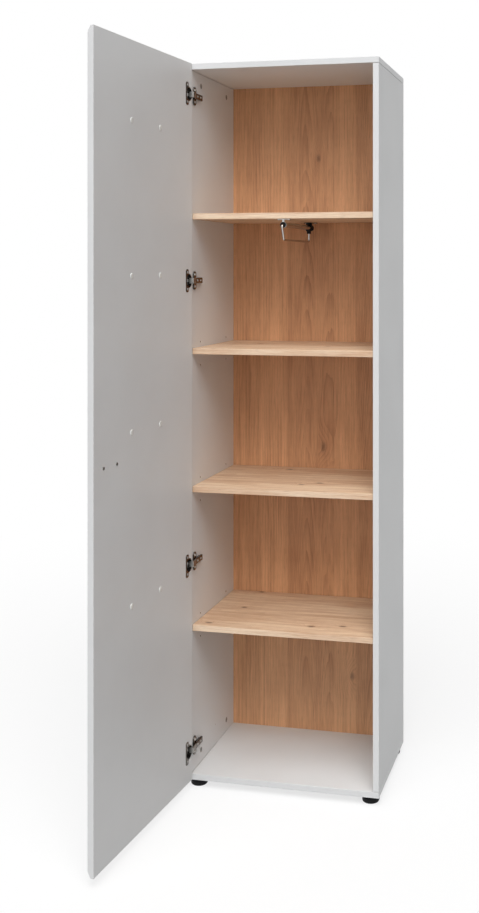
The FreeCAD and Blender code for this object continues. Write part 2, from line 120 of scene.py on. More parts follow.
class WardrobeFittings(bpy.types.PropertyGroup):
    sheet: length("Sheet", "Thickness of the pressed hinge parts", 0.0012)
    sheet_ease: length("Sheet ease", "Rounding of the upper edges of plates and cups", 0.0004)
    wing_width: length("Wing width", "Depth of the two wings of a hinge plate", 0.020)
    channel_start: length("Channel start", "Depth of the channel's front end behind the front edge", 0.012)
    channel_half: length("Channel half", "Half the height of the arm channel", 0.008)
    nose_half: length("Nose half", "Half the height of the arm's nose", 0.0075)
    seat_start: length("Seat start", "Depth of the plate seat's front end behind the front edge", 0.014)
    seat_round: length("Seat rounding", "Rounding of the plate seat's upper edges", 0.001)
    arm_round: length("Arm rounding", "Rounding of the arm's long edges and its slot", 0.0018)
    nose_round: length("Nose rounding", "Rounding of the arm's nose", 0.0011)
    slot_front: length("Slot front", "Reach of the arm's slot in front of its screw", 0.0062)
    slot_rear: length("Slot rear", "Reach of the arm's slot behind its screw", 0.0042)
    slot_half: length("Slot half", "Half the height of the arm's slot", 0.0019)
    web: length("Web", "Thickness of the web between the arm's nose and its eye", 0.0025)
    eye_half: length("Eye half", "Half the height of the arm's eye", 0.004)
    eye_radius: length("Eye radius", "Outer radius of the arm's eye", 0.002)
    arm_play: length("Arm play", "Room between the arm and its plate", 0.0003)
    pin_play: length("Pin play", "Room round pins, rods and tubes in their bores", 0.00005)
    ear_start: length("Ear start", "Where the cup's ears start, from the middle of the cup", 0.002)
    ear_round: length("Ear rounding", "Rounding of the corners of the cup's ears", 0.006)
    cup_radius: length("Cup radius", "Radius of the hinge cups", 0.0174)
    cup_wall: length("Cup wall", "Thickness of the cup wall", 0.0009)
    screw_head: length("Screw head", "Height of the wood screw heads", 0.0014)
    arm_screw_head: length("Arm screw head", "Height of the arm screw heads", 0.001)
    handle_screw_head: length("Handle screw head", "Height of the handle screw heads", 0.002)
    handle_bend: length("Handle bend", "Bend radius of the handle's middle line", 0.016)
    cap_height: length("Cap height", "Height of the screw caps", 0.0015)
    foot_round: length("Foot rounding", "Rounding of the lower edge of the feet", 0.006)
    foot_recess: length("Foot recess", "Depth of the screw recess in the feet", 0.012)
    recess_radius: length("Recess radius", "Radius of the screw recess in the feet", 0.005)
    rail_wall: length("Rail wall", "Wall of the rail tube", 0.0012)
    rod_bend: length("Rod bend", "Bend radius of the rail's rod", 0.006)
    rod_nose: length("Rod nose", "Depth of the rod's upper front corner behind the front edge", 0.012)
    rod_heel: length("Rod heel", "Depth of the rod's lower front corner behind the front edge", 0.033)
    rod_socket: length("Rod socket", "How far the rod's end goes into the slider", 0.008)
    post_half: length("Post half", "Half the width of the bracket posts", 0.003)
    slider_below: length("Slider below", "Drop of the slider's wide part below the rail", 0.010)
    slider_foot: length("Slider foot", "Half the width of the slider's foot", 0.005)
    slider_round: length("Slider rounding", "Rounding of the slider's long edges", 0.003)


class WardrobeColours(bpy.types.PropertyGroup):
    white: tint("White", "Melamine face of the carcass and the door", (0.765, 0.770, 0.772))
    band: tint("Edge band", "White band on the board edges", (0.775, 0.78, 0.785))
    chip: tint("Particle board", "Raw board at the unbanded edges", (0.42, 0.29, 0.18))
    hardboard: tint("Hardboard", "Raw rear of the back board", (0.30, 0.19, 0.11))
    shelf_light: tint("Light shelf oak", "Early wood of the shelf decor", (0.94, 0.745, 0.54))
    shelf_dark: tint("Dark shelf oak", "Late wood of the shelf decor", (0.53, 0.285, 0.15))
    band_light: tint("Light band oak", "Early wood of the band on the shelf fronts", (0.99, 0.80, 0.60))
    band_dark: tint("Dark band oak", "Late wood of the band on the shelf fronts", (0.62, 0.36, 0.21))
    back_light: tint("Light back oak", "Early wood of the decor on the back board", (0.86, 0.475, 0.248))
    back_dark: tint("Dark back oak", "Late wood of the decor on the back board", (0.27, 0.09, 0.03))
    knot: tint("Knot", "Heart of the knots", (0.12, 0.052, 0.024))
    # Nickel plate, its colour darkened well below that of real plate to stand for the dark surroundings in
    # its reflections: painted dark reflection
    nickel: tint("Nickel", "Plated hinge parts", (0.165, 0.153, 0.140))
    bright: tint("Bright zinc", "Plated screws and the seats of the hinge plates", (0.72, 0.70, 0.66))
    link: tint("Dull zinc", "Noses of the hinge arms and the cup screws", (0.40, 0.39, 0.37))
    zinc: tint("Zinc", "Cast cam locks", (0.40, 0.39, 0.38))
    chrome: tint("Chrome", "Rail tube, rod and front bracket", (0.56, 0.54, 0.52))
    steel: tint("Steel", "Handle", (0.58, 0.57, 0.55))
    black: tint("Black", "Plastic of the feet and rail fittings", (0.012, 0.012, 0.013))
    cap: tint("Cap", "Plastic of the screw caps", (0.86, 0.86, 0.84))
    beech: tint("Beech", "Dowels", (0.55, 0.38, 0.22))


class WardrobeStage(bpy.types.PropertyGroup):
    camera_place: location("Camera", "Place of the camera", (0.8577, -3.1578, 1.4203))
    camera_turn: bpy.props.FloatProperty(
        name="Camera turn", description="Turn of the camera to the left",
        default=math.radians(12.70), subtype="ANGLE",
    )
    lens: amount("Lens", "Focal length in millimetres", 45.541)
    sensor: amount("Sensor", "Width of the camera's sensor in millimetres", 36.0)
    shift: bpy.props.FloatVectorProperty(
        name="Shift", description="Camera shift to the side and up", size=2, default=(-0.12, -0.2090),
    )
    front_strength: amount("Front light", "Strength of the broad light from the front", 0.51)
    high_strength: amount("High light", "Strength of the broad light from high in front", 2.08)
    lamp_power: amount("Lamp", "Power of the large lamp above the front, in watts", 52.0)
    lamp_place: location("Lamp place", "Place of the large lamp", (1.2, -3.5, 4.2))
    lamp_aim: location("Lamp aim", "Point that the large lamp looks at", (0.0, 0.0, 0.9))
    lamp_size: length("Lamp size", "Side of the large lamp", 2.0)
    fill_strength: amount("Fill light", "Strength of the light from all around", 0.125)
    side_strength: amount("Side light", "Extra light from the left and behind", 0.30)
    floor_size: length("Floor size", "Side of the floor", 80.0)
    floor_pale: amount("Floor", "Grey level of the floor that lights the wardrobe from below", 0.40)
    floor_shade: amount("Floor shade", "Grey level of the floor that takes the shadow", 0.28)
    floor_glow: amount("Floor glow", "White added to the floor near the wardrobe for the camera", 0.72)
    glow_start: length("Glow start", "Distance at which the floor starts to turn plain white", 0.9)
    glow_end: length("Glow end", "Distance from which the floor is plain white", 3.2)


# Mesh tools

def select_only(*objects):
    bpy.ops.object.select_all(action="DESELECT")
    for obj in objects:
        obj.select_set(True)
    bpy.context.view_layer.objects.active = objects[0]


def edit_all(obj):
    select_only(obj)
    bpy.ops.object.mode_set(mode="EDIT")
    bpy.ops.mesh.select_all(action="SELECT")


def edit_edges(obj, test):
    """Enter edit mode with the edges selected whose two ends pass the test."""
    select_only(obj)
    bpy.context.tool_settings.mesh_select_mode = (False, True, False)
    mesh = obj.data
    for part in (mesh.vertices, mesh.edges, mesh.polygons):
        part.foreach_set("select", [False] * len(part))
    for edge in mesh.edges:
        ends = [mesh.vertices[index].co for index in edge.vertices]
        edge.select = test(*ends)
    bpy.ops.object.mode_set(mode="EDIT")


def leave_edit():
    bpy.ops.object.mode_set(mode="OBJECT")


def leave_outward():
    """Leave edit mode with all faces turned outward."""
    bpy.ops.mesh.select_all(action="SELECT")
    bpy.ops.mesh.normals_make_consistent(inside=False)
    leave_edit()


def bevel_edges(obj, width, segments, test):
    edit_edges(obj, test)
    bpy.ops.mesh.bevel(offset=width, segments=segments, affect="EDGES", clamp_overlap=True)
    leave_edit()


def round_all(obj, width, segments=2):
    edit_all(obj)
    bpy.ops.mesh.bevel(offset=width, segments=segments, affect="EDGES", clamp_overlap=True)
    leave_edit()


def along(direction):
    """Test for edges that run along a direction."""
    return lambda a, b: abs((b - a).normalized().dot(direction)) > RUNS


def named(name):
    obj = bpy.context.active_object
    obj.name = name
    obj.data.name = name
    return obj


def apply_place():
    bpy.ops.object.transform_apply(location=True, rotation=True, scale=True)


def add_block(name, low, high):
    low, high = Vector(low), Vector(high)
    bpy.ops.object.select_all(action="DESELECT")
    bpy.ops.mesh.primitive_cube_add(size=1.0, location=(low + high) / 2, scale=high - low)
    block = named(name)
    apply_place()
    return block


def add_outline(name, points, rise):
    """A flat outline of points, raised straight by a vector."""
    bpy.ops.object.select_all(action="DESELECT")
    bpy.ops.mesh.primitive_circle_add(vertices=len(points), radius=1.0, fill_type="NGON")
    plate = named(name)
    for vertex, point in zip(plate.data.vertices, points):
        vertex.co = point
    edit_all(plate)
    bpy.ops.mesh.extrude_region_move(TRANSFORM_OT_translate={"value": rise})
    leave_outward()
    return plate


def add_turned(name, profile, sides=32):
    """A turned piece on the Z axis: a disc drawn out through (radius, height) steps."""
    radius, height = profile[0]
    bpy.ops.object.select_all(action="DESELECT")
    bpy.ops.mesh.primitive_circle_add(
        vertices=sides, radius=radius, fill_type="NGON", location=(0.0, 0.0, height),
    )
    piece = named(name)
    apply_place()
    edit_all(piece)
    for next_radius, next_height in profile[1:]:
        step = (0.0, 0.0, next_height - height)
        bpy.ops.mesh.extrude_region_move(TRANSFORM_OT_translate={"value": step})
        scale = next_radius / radius
        bpy.ops.transform.resize(value=(scale, scale, 1.0), center_override=(0.0, 0.0, next_height))
        radius, height = next_radius, next_height
    leave_outward()
    return piece


def add_bent_rod(name, points, bend, radius, sides=20, steps=8):
    """A round rod along straight runs, with each corner spun to the bend radius."""
    first = points[1] - points[0]
    bpy.ops.object.select_all(action="DESELECT")
    bpy.ops.mesh.primitive_circle_add(
        vertices=sides, radius=radius, fill_type="NGON", location=points[0],
        rotation=first.to_track_quat("Z", "Y").to_euler(),
    )
    rod = named(name)
    apply_place()
    edit_all(rod)
    last = points[0]
    for before, corner, after in zip(points, points[1:], points[2:]):
        behind, ahead = (before - corner).normalized(), (after - corner).normalized()
        half = behind.angle(ahead) / 2
        setback = bend / math.tan(half)
        start = corner + behind * setback
        bpy.ops.mesh.extrude_region_move(TRANSFORM_OT_translate={"value": start - last})
        bpy.ops.mesh.spin(
            steps=steps, angle=math.pi - 2 * half, axis=behind.cross(ahead).normalized(),
            center=corner + (behind + ahead).normalized() * (bend / math.sin(half)),
        )
        last = corner + ahead * setback
    bpy.ops.mesh.extrude_region_move(TRANSFORM_OT_translate={"value": points[-1] - last})
    leave_outward()
    return rod


def combine(base, tools, operation):
    """Fuse the tools with the base or cut them away, and remove them."""
    for tool in tools:
        select_only(base)
        change = base.modifiers.new("Combine", "BOOLEAN")
        change.operation = operation
        change.solver = "EXACT"
        change.object = tool
        bpy.ops.object.modifier_apply(modifier=change.name)
        bpy.data.objects.remove(tool)
    edit_all(base)
    bpy.ops.mesh.remove_doubles(threshold=SLIVER)
    bpy.ops.mesh.dissolve_degenerate(threshold=SLIVER)
    leave_edit()
    return base


def cutter(mouth, inward, radius, depth, sides=28):
    """A plain drill that stands half out of the mouth of its hole."""
    bpy.ops.object.select_all(action="DESELECT")
    bpy.ops.mesh.primitive_cylinder_add(
        vertices=sides, radius=radius, depth=2 * depth, location=mouth,
        rotation=inward.to_track_quat("Z", "Y").to_euler(),
    )
    return bpy.context.active_object


def drill(board, holes):
    """Cut many holes at once; each is (mouth, inward, radius, depth)."""
    tools = [cutter(*hole) for hole in holes]
    select_only(*tools)
    bpy.ops.object.join()
    combine(board, [bpy.context.active_object], "DIFFERENCE")


def facing(place, direction):
    """Matrix that puts a piece made on the Z axis at a place, with its top to a direction."""
    return Matrix.Translation(place) @ direction.to_track_quat("Z", "Y").to_matrix().to_4x4()


def copy_of(pattern):
    """A copy of a pattern with its own mesh."""
    copy = pattern.copy()
    copy.data = pattern.data.copy()
    bpy.context.collection.objects.link(copy)
    return copy


def move_to(obj, place):
    """Move an object by a matrix and take the move into its mesh."""
    select_only(obj)
    obj.matrix_world = place
    apply_place()


def set_out(pattern, name, places):
    """Copy a pattern to all the places and join the copies; the pattern goes."""
    copies = []
    for place in places:
        copies.append(copy_of(pattern))
        copies[-1].matrix_world = place
    bpy.data.objects.remove(pattern)
    select_only(*copies)
    if len(copies) > 1:
        bpy.ops.object.join()
    made = named(name)
    apply_place()
    return made


def swing_open(obj):
    move_to(obj, OPEN_DOOR)


def scaled(outline, radius, height):
    """Turning steps from an outline in shares of a radius and a height."""
    return [(radius * share, height * rise) for share, rise in outline]


def round_bar(radius, start, end, ease):
    """Turning steps of a round bar with eased ends."""
    return [(radius - ease, start), (radius, start + ease), (radius, end - ease), (radius - ease, end)]


def smooth(obj, degrees=40.0):
    select_only(obj)
    bpy.ops.object.shade_smooth_by_angle(angle=math.radians(degrees))


def paint(obj, finishes, pick=lambda normal, centre: 0):
    obj.data.materials.clear()
    for finish in finishes:
        obj.data.materials.append(FINISH[finish])
    for face in obj.data.polygons:
        face.material_index = pick(face.normal, face.center)


def settle(obj, body, slot, *nodes):
    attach(obj, body)
    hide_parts(*nodes)


def dress(obj, finish, body, slot, node):
    """Give a round piece one finish and smooth shading, and settle it."""
    paint(obj, (finish,))
    smooth(obj)
    settle(obj, body, slot, node)


def finish_nodes(finish, *names):
    for name in names:
        materials = frame["nodes"][name].data.materials
        materials.clear()
        materials.append(FINISH[finish])


def box_of(points):
    low = Vector([min(point[axis] for point in points) for axis in AXES])
    high = Vector([max(point[axis] for point in points) for axis in AXES])
    return low, high


def shut_box(name):
    return box_of([SHUT_DOOR @ vertex.co for vertex in frame["nodes"][name].data.vertices])


def inside(low, high, margin):
    """Test for points that lie deeper in a box than a margin."""
    return lambda point: all(low[axis] + margin < point[axis] < high[axis] - margin for axis in AXES)


def pieces_of(name, turn=Matrix.Identity(4)):
    """Boxes of the separate solids in a frame node, as (low, high) pairs."""
    mesh = frame["nodes"][name].data
    keys = [tuple(round(value, 6) for value in vertex.co) for vertex in mesh.vertices]
    chief = {key: key for key in keys}

    def root(key):
        while chief[key] != key:
            chief[key] = chief[chief[key]]
            key = chief[key]
        return key

    for face in mesh.polygons:
        first = root(keys[face.vertices[0]])
        for index in face.vertices[1:]:
            chief[root(keys[index])] = first
    groups = {}
    for key in chief:
        groups.setdefault(root(key), []).append(turn @ Vector(key))
    return sorted((box_of(points) for points in groups.values()), key=lambda box: tuple(box[0]))


# Shader tools

FLOAT = "NodeSocketFloat"
VECTOR = "NodeSocketVector"
SHARED = {}
FINISH = {}


def put(tree, kind, inputs=None, **settings):
    made = tree.nodes.new(kind)
    for name, value in settings.items():
        setattr(made, name, value)
    for name, value in (inputs or {}).items():
        if isinstance(value, bpy.types.NodeSocket):
            tree.links.new(value, made.inputs[name])
        else:
            made.inputs[name].default_value = value
    return made


def sums(tree, operation, *values):
    return put(tree, "ShaderNodeMath", dict(enumerate(values)), operation=operation).outputs[0]


def grain_point(tree, across, along_grain, seed, across_scale, along_scale):
    """A point for noise that is drawn out along the grain."""
    wide = sums(tree, "MULTIPLY", across, across_scale)
    long = sums(tree, "MULTIPLY", along_grain, along_scale)
    return put(tree, "ShaderNodeCombineXYZ", {0: wide, 1: long, 2: seed}).outputs[0]


def noise(tree, position, scale=1.0, detail=2.0, roughness=0.5):
    inputs = {"Vector": position, "Scale": scale, "Detail": detail, "Roughness": roughness}
    return put(tree, "ShaderNodeTexNoise", inputs).outputs["Fac"]


def ramp(tree, value, low, high, to_low=0.0, to_high=1.0):
    inputs = {"Value": value, "From Min": low, "From Max": high, "To Min": to_low, "To Max": to_high}
    return put(tree, "ShaderNodeMapRange", inputs, interpolation_type="SMOOTHSTEP").outputs["Result"]


def mixed(tree, factor, first, second):
    inputs = {0: factor, 6: first, 7: second}
    return put(tree, "ShaderNodeMix", inputs, data_type="RGBA").outputs[2]


def group(name, inputs, outputs):
    tree = bpy.data.node_groups.new(name, "ShaderNodeTree")
    for socket_name, kind, default in inputs:
        socket = tree.interface.new_socket(socket_name, in_out="INPUT", socket_type=kind)
        socket.default_value = default
    for socket_name in outputs:
        tree.interface.new_socket(socket_name, in_out="OUTPUT", socket_type=FLOAT)
    source = tree.nodes.new("NodeGroupInput").outputs
    target = tree.nodes.new("NodeGroupOutput").inputs
    return tree, source, target


def use(tree, shared, inputs):
    return put(tree, "ShaderNodeGroup", inputs, node_tree=SHARED[shared]).outputs


def colour(values):
    return (values[0], values[1], values[2], 1.0)


def material(name, metallic=0.0):
    made = bpy.data.materials.new(name)
    made.use_nodes = True
    tree = made.node_tree
    shader = tree.nodes["Principled BSDF"]
    shader.inputs["Metallic"].default_value = metallic
    position = put(tree, "ShaderNodeTexCoord").outputs["Object"]
    return made, tree, shader, position


def connect(tree, shader, base, rough, height, strength, distance):
    tree.links.new(base, shader.inputs["Base Color"])
    tree.links.new(rough, shader.inputs["Roughness"])
    inputs = {"Strength": strength, "Distance": distance, "Height": height}
    bump = put(tree, "ShaderNodeBump", inputs)
    tree.links.new(bump.outputs["Normal"], shader.inputs["Normal"])


# Marks on a satin surface: share of the fine texture and of the broad smudges
MARKS_FINE, MARKS_BROAD = 0.35, 0.65


def satin_texture_group():
    """Fine pressed texture and faint handling marks of a smooth surface."""
    inputs = [("Position", VECTOR, (0, 0, 0)), ("Grain", FLOAT, 1800.0), ("Smudge", FLOAT, 6.0)]
    tree, source, target = group("Satin texture", inputs, ("Tone", "Marks", "Height"))
    fine = noise(tree, source["Position"], source["Grain"], detail=2.0, roughness=0.6)
    broad = noise(tree, source["Position"], source["Smudge"], detail=4.0, roughness=0.55)
    tree.links.new(ramp(tree, broad, 0.3, 0.7), target["Tone"])
    smudges = ramp(tree, broad, 0.35, 0.75, 0.0, MARKS_BROAD)
    tree.links.new(sums(tree, "MULTIPLY_ADD", fine, MARKS_FINE, smudges), target["Marks"])
    tree.links.new(fine, target["Height"])
    return tree


# Noises of the oak figure: cells to the metre across and along the grain
SWAY, WOBBLE, FADE, BEND = (15.0, 0.9), (90.0, 10.0), (24.0, 2.2), (26.0, 7.0)
BROAD, COARSE, FINE, PORES = (48.0, 3.0), (300.0, 8.0), (820.0, 24.0), (1300.0, 38.0)

# Lines of the oak figure: across a straight strip, along an arched one, and the bow of its arches
STRIP_LINES, ARCH_LINES, ARCH_BOW = 8.0, 9.0, 16.0

# Strips: width, how far the lines slide from one to the next, and where in the draw arches start
STRIP_WIDTH, STRIP_SLIDE = 0.075, 31.0
ARCHED_FROM, ARCHED_TO = 0.55, 0.57

# How far the noises move the lines and bend the streaks, how steep a line is on its dark side,
# how clear lines are round a knot, and the shares of coarse and fine streaks
SWAY_REACH, WOBBLE_REACH, BEND_REACH = 4.0, 0.6, 0.010
LINE_EDGE, KNOT_CLEAR = 2.4, 0.25
COARSE_SHARE, FINE_SHARE = 0.62, 0.38


def oak_figure_group():
    """Joined oak strips: straight lines in most, arches in some, streaks and pores along the grain."""
    inputs = [
        ("Across", FLOAT, 0.0), ("Along", FLOAT, 0.0), ("Seed", FLOAT, 0.0),
        ("Strip Width", FLOAT, STRIP_WIDTH), ("Warp", FLOAT, 0.0),
    ]
    tree, source, target = group("Oak figure", inputs, ("Line", "Streak", "Band", "Strip", "Pore"))
    across, ahead, seed = source["Across"], source["Along"], source["Seed"]
    place = sums(tree, "ADD", sums(tree, "DIVIDE", across, source["Strip Width"]), seed)
    strips = put(
        tree, "ShaderNodeTexVoronoi", {"W": place, "Scale": 1.0, "Randomness": 0.8},
        voronoi_dimensions="1D",
    ).outputs
    split = put(tree, "ShaderNodeSeparateColor", {"Color": strips["Color"]}).outputs
    tone, slide, kind = split[0], split[1], split[2]

    offset = sums(tree, "SUBTRACT", place, strips["W"])
    start = sums(tree, "MULTIPLY", slide, STRIP_SLIDE)
    straight = sums(tree, "MULTIPLY_ADD", offset, STRIP_LINES, start)
    bow = sums(tree, "MULTIPLY", sums(tree, "MULTIPLY", offset, offset), ARCH_BOW)
    arch = sums(tree, "ADD", sums(tree, "MULTIPLY_ADD", ahead, ARCH_LINES, start), bow)
    arched = ramp(tree, kind, ARCHED_FROM, ARCHED_TO)
    phase = sums(tree, "MULTIPLY_ADD", arched, sums(tree, "SUBTRACT", arch, straight), straight)
    sway = noise(tree, grain_point(tree, across, ahead, seed, *SWAY))
    wobble = noise(tree, grain_point(tree, across, ahead, seed, *WOBBLE))
    phase = sums(tree, "ADD", sums(tree, "MULTIPLY_ADD", sway, SWAY_REACH, phase), source["Warp"])
    phase = sums(tree, "MULTIPLY_ADD", wobble, WOBBLE_REACH, phase)
    line = sums(tree, "POWER", sums(tree, "FRACT", phase), LINE_EDGE)
    fade = ramp(tree, noise(tree, grain_point(tree, across, ahead, seed, *FADE)), 0.35, 0.70, 0.2, 1.0)
    clear = sums(tree, "MAXIMUM", fade, sums(tree, "MULTIPLY", source["Warp"], KNOT_CLEAR))
    tree.links.new(sums(tree, "MULTIPLY", line, clear), target["Line"])

    bend = noise(tree, grain_point(tree, across, ahead, seed, *BEND))
    bent = sums(tree, "MULTIPLY_ADD", bend, BEND_REACH, across)
    broad = noise(tree, grain_point(tree, bent, ahead, seed, *BROAD), detail=3.0, roughness=0.55)
    coarse = noise(tree, grain_point(tree, bent, ahead, seed, *COARSE), detail=3.0, roughness=0.6)
    fine = noise(tree, grain_point(tree, bent, ahead, seed, *FINE))
    streak = sums(tree, "MULTIPLY_ADD", coarse, COARSE_SHARE, sums(tree, "MULTIPLY", fine, FINE_SHARE))
    pore = noise(tree, grain_point(tree, across, ahead, seed, *PORES), detail=1.0)
    tree.links.new(ramp(tree, streak, 0.37, 0.63), target["Streak"])
    tree.links.new(ramp(tree, broad, 0.36, 0.64), target["Band"])
    tree.links.new(tone, target["Strip"])
    tree.links.new(ramp(tree, pore, 0.58, 0.72), target["Pore"])
    return tree


# A knot: cells to the metre of its ragged edge, how ragged it is, how fast its swing of the lines
# dies away, how many lines it swings, and the edge and core of its heart
RAGGED, RAGGED_REACH = (160.0, 160.0), 0.5
KNOT_FALL, KNOT_LINES = -0.22, 4.0
HEART_EDGE, HEART_CORE = 1.15, 0.35


def oak_knot_group():
    """One knot: lines that swing round it, and its dark heart."""
    inputs = [
        ("Across", FLOAT, 0.0), ("Along", FLOAT, 0.0),
        ("Centre Across", FLOAT, 0.0), ("Centre Along", FLOAT, 0.0),
        ("Size", FLOAT, 0.01), ("Stretch", FLOAT, 2.0),
    ]
    tree, source, target = group("Oak knot", inputs, ("Warp", "Heart"))
    ragged = noise(tree, grain_point(tree, source["Across"], source["Along"], 0.0, *RAGGED))
    across = sums(tree, "SUBTRACT", source["Across"], source["Centre Across"])
    side = sums(tree, "DIVIDE", across, source["Size"])
    ahead = sums(tree, "SUBTRACT", source["Along"], source["Centre Along"])
    reach = sums(tree, "DIVIDE", ahead, sums(tree, "MULTIPLY", source["Size"], source["Stretch"]))
    square = sums(tree, "MULTIPLY_ADD", side, side, sums(tree, "MULTIPLY", reach, reach))
    edge = sums(tree, "MULTIPLY_ADD", ragged, RAGGED_REACH, sums(tree, "SQRT", square))
    falloff = sums(tree, "EXPONENT", sums(tree, "MULTIPLY", square, KNOT_FALL))
    tree.links.new(sums(tree, "MULTIPLY", falloff, KNOT_LINES), target["Warp"])
    tree.links.new(ramp(tree, edge, HEART_EDGE, HEART_CORE), target["Heart"])
    return tree


# Oak surface: shade of the pores, roughness and what the streaks add to it, depths, bump and its reach
PORE_SHADE = 0.25
OAK_ROUGH, STREAK_ROUGH = 0.42, 0.10
PORE_DEPTH, LINE_DEPTH = -0.7, -0.3
OAK_BUMP, OAK_BUMP_REACH = 0.25, 0.0003

# Satin surface: what the marks add to its roughness, and the reach of its bump
MARKS_ROUGH = 0.14
SATIN_BUMP_REACH = 0.0001


def oak_finish(name, across_of, along_axis, seed, knots, grain, light, dark, colours):
    """Oak decor with its grain along an axis; knots are (across, along, size, stretch)."""
    made, tree, shader, position = material(name)
    split = put(tree, "ShaderNodeSeparateXYZ", {0: position}).outputs
    across, ahead = across_of(tree, split), split[along_axis]
    warp, heart = 0.0, 0.0
    for centre_across, centre_along, size, stretch in knots:
        found = use(tree, "knot", {
            "Across": across, "Along": ahead, "Centre Across": centre_across,
            "Centre Along": centre_along, "Size": size, "Stretch": stretch,
        })
        warp = sums(tree, "ADD", warp, found["Warp"])
        heart = sums(tree, "MAXIMUM", heart, found["Heart"])
    figure = use(tree, "oak", {
        "Across": across, "Along": ahead, "Seed": seed, "Strip Width": STRIP_WIDTH, "Warp": warp,
    })
    tone = sums(tree, "MULTIPLY", figure["Line"], grain["Line"])
    for part in ("Streak", "Band", "Strip"):
        tone = sums(tree, "MULTIPLY_ADD", figure[part], grain[part], tone)
    wood = mixed(tree, tone, colour(light), colour(dark))
    pored = mixed(tree, sums(tree, "MULTIPLY", figure["Pore"], PORE_SHADE), wood, colour(colours.knot))
    base = mixed(tree, sums(tree, "MULTIPLY", heart, grain["Heart"]), pored, colour(colours.knot))
    rough = sums(tree, "MULTIPLY_ADD", figure["Streak"], STREAK_ROUGH, OAK_ROUGH)
    lines = sums(tree, "MULTIPLY", figure["Line"], LINE_DEPTH)
    height = sums(tree, "MULTIPLY_ADD", figure["Pore"], PORE_DEPTH, lines)
    connect(tree, shader, base, rough, height, OAK_BUMP, OAK_BUMP_REACH)
    return made


def satin_finish(name, shade, rough, spread, grain, bump, metallic, smudge, gloss):
    made, tree, shader, position = material(name, metallic)
    shader.inputs["Specular IOR Level"].default_value = gloss
    texture = use(tree, "satin", {"Position": position, "Grain": grain, "Smudge": smudge})
    darker = [value * (1.0 - spread) for value in shade]
    base = mixed(tree, texture["Tone"], colour(darker), colour(shade))
    roughness = sums(tree, "MULTIPLY_ADD", texture["Marks"], MARKS_ROUGH, rough)
    connect(tree, shader, base, roughness, texture["Height"], bump, SATIN_BUMP_REACH)
    return made


# Finish: name, roughness, tone spread, grain, bump, metallic, smudge size, gloss; keyed by its colour
SATINS = {
    "white": ("White melamine", 0.38, 0.03, 1800.0, 0.12, 0.0, 6.0, 0.5),
    "band": ("White edge band", 0.34, 0.03, 1800.0, 0.12, 0.0, 6.0, 0.5),
    "chip": ("Raw particle board", 0.75, 0.55, 900.0, 0.8, 0.0, 420.0, 0.3),
    "hardboard": ("Raw hardboard", 0.70, 0.25, 1500.0, 0.5, 0.0, 60.0, 0.3),
    # Nickel: the dark colour is painted dark reflection on top of the plate's own grey
    "nickel": ("Nickel plate", 0.16, 0.25, 2500.0, 0.05, 1.0, 80.0, 0.5),
    "bright": ("Bright zinc plate", 0.36, 0.15, 2500.0, 0.08, 1.0, 90.0, 0.5),
    "link": ("Dull zinc plate", 0.36, 0.15, 2500.0, 0.08, 1.0, 90.0, 0.5),
    "zinc": ("Die-cast zinc", 0.40, 0.25, 2500.0, 0.2, 1.0, 90.0, 0.5),
    "chrome": ("Chrome", 0.05, 0.06, 2500.0, 0.01, 1.0, 60.0, 0.5),
    "steel": ("Satin steel", 0.28, 0.12, 2500.0, 0.05, 1.0, 70.0, 0.5),
    "black": ("Black plastic", 0.45, 0.3, 2200.0, 0.2, 0.0, 60.0, 0.12),
    "cap": ("White plastic", 0.18, 0.05, 2200.0, 0.06, 0.0, 60.0, 0.6),
    "beech": ("Plain beech", 0.60, 0.3, 1200.0, 0.3, 0.0, 200.0, 0.4),
}

# Where each oak decor starts in its noises; every shelf starts a step further on
BACK_SEED, BAND_SEED, SHELF_SEED, SHELF_SEED_STEP = 3.0, 47.0, 11.0, 7.0

# Share of each part of the oak figure in its dark tone
BACK_GRAIN = {"Line": 0.32, "Streak": 0.20, "Band": 0.16, "Strip": 0.22, "Heart": 0.60}
SHELF_GRAIN = {"Line": 0.28, "Streak": 0.30, "Band": 0.36, "Strip": 0.24, "Heart": 0.85}

# Knots as (across the grain, along the grain, size, stretch)
BACK_KNOTS = ((0.014, 1.739, 0.010, 1.8), (0.029, 0.882, 0.013, 2.0), (0.116, 0.206, 0.011, 1.8))
SHELF_KNOTS = {
    "shelf_1": ((0.02, -0.05, 0.009, 1.6), (-0.09, 0.14, 0.008, 1.6)),
    "shelf_2": ((-0.02, 0.09, 0.008, 1.6), (0.05, -0.13, 0.009, 1.6)),
    "shelf_3": ((-0.058, 0.076, 0.012, 1.6), (-0.089, 0.032, 0.009, 1.6), (0.130, -0.061, 0.012, 1.6)),
    "shelf_4": (
        (-0.150, -0.214, 0.011, 1.5), (0.006, -0.163, 0.010, 1.5), (-0.122, 0.068, 0.012, 1.5),
        (-0.103, 0.152, 0.010, 1.8), (0.168, -0.160, 0.011, 1.5),
    ),
}


def make_finishes(colours):
    SHARED["satin"] = satin_texture_group()
    SHARED["oak"] = oak_figure_group()
    SHARED["knot"] = oak_knot_group()
    for key, (name, *look) in SATINS.items():
        FINISH[key] = satin_finish(name, getattr(colours, key), *look)
    FINISH["oak_back"] = oak_finish(
        "Oak decor back", lambda tree, split: split["X"], "Z", BACK_SEED, BACK_KNOTS, BACK_GRAIN,
        colours.back_light, colours.back_dark, colours,
    )
    FINISH["oak_band"] = oak_finish(
        "Oak edge band", lambda tree, split: split["Z"], "X", BAND_SEED, (), SHELF_GRAIN,
        colours.band_light, colours.band_dark, colours,
    )
    for number, (name, knots) in enumerate(SHELF_KNOTS.items()):
        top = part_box(name)[1].z
        FINISH[name] = oak_finish(
            "Oak decor " + name, lambda tree, split: sums(tree, "SUBTRACT", split["Y"], split["Z"]), "X",
            SHELF_SEED + SHELF_SEED_STEP * number, [(knot[0] - top, *knot[1:]) for knot in knots],
            SHELF_GRAIN, colours.shelf_light, colours.shelf_dark, colours,
        )


# Boards

WHITE_BOARD = ("white", "band", "chip")


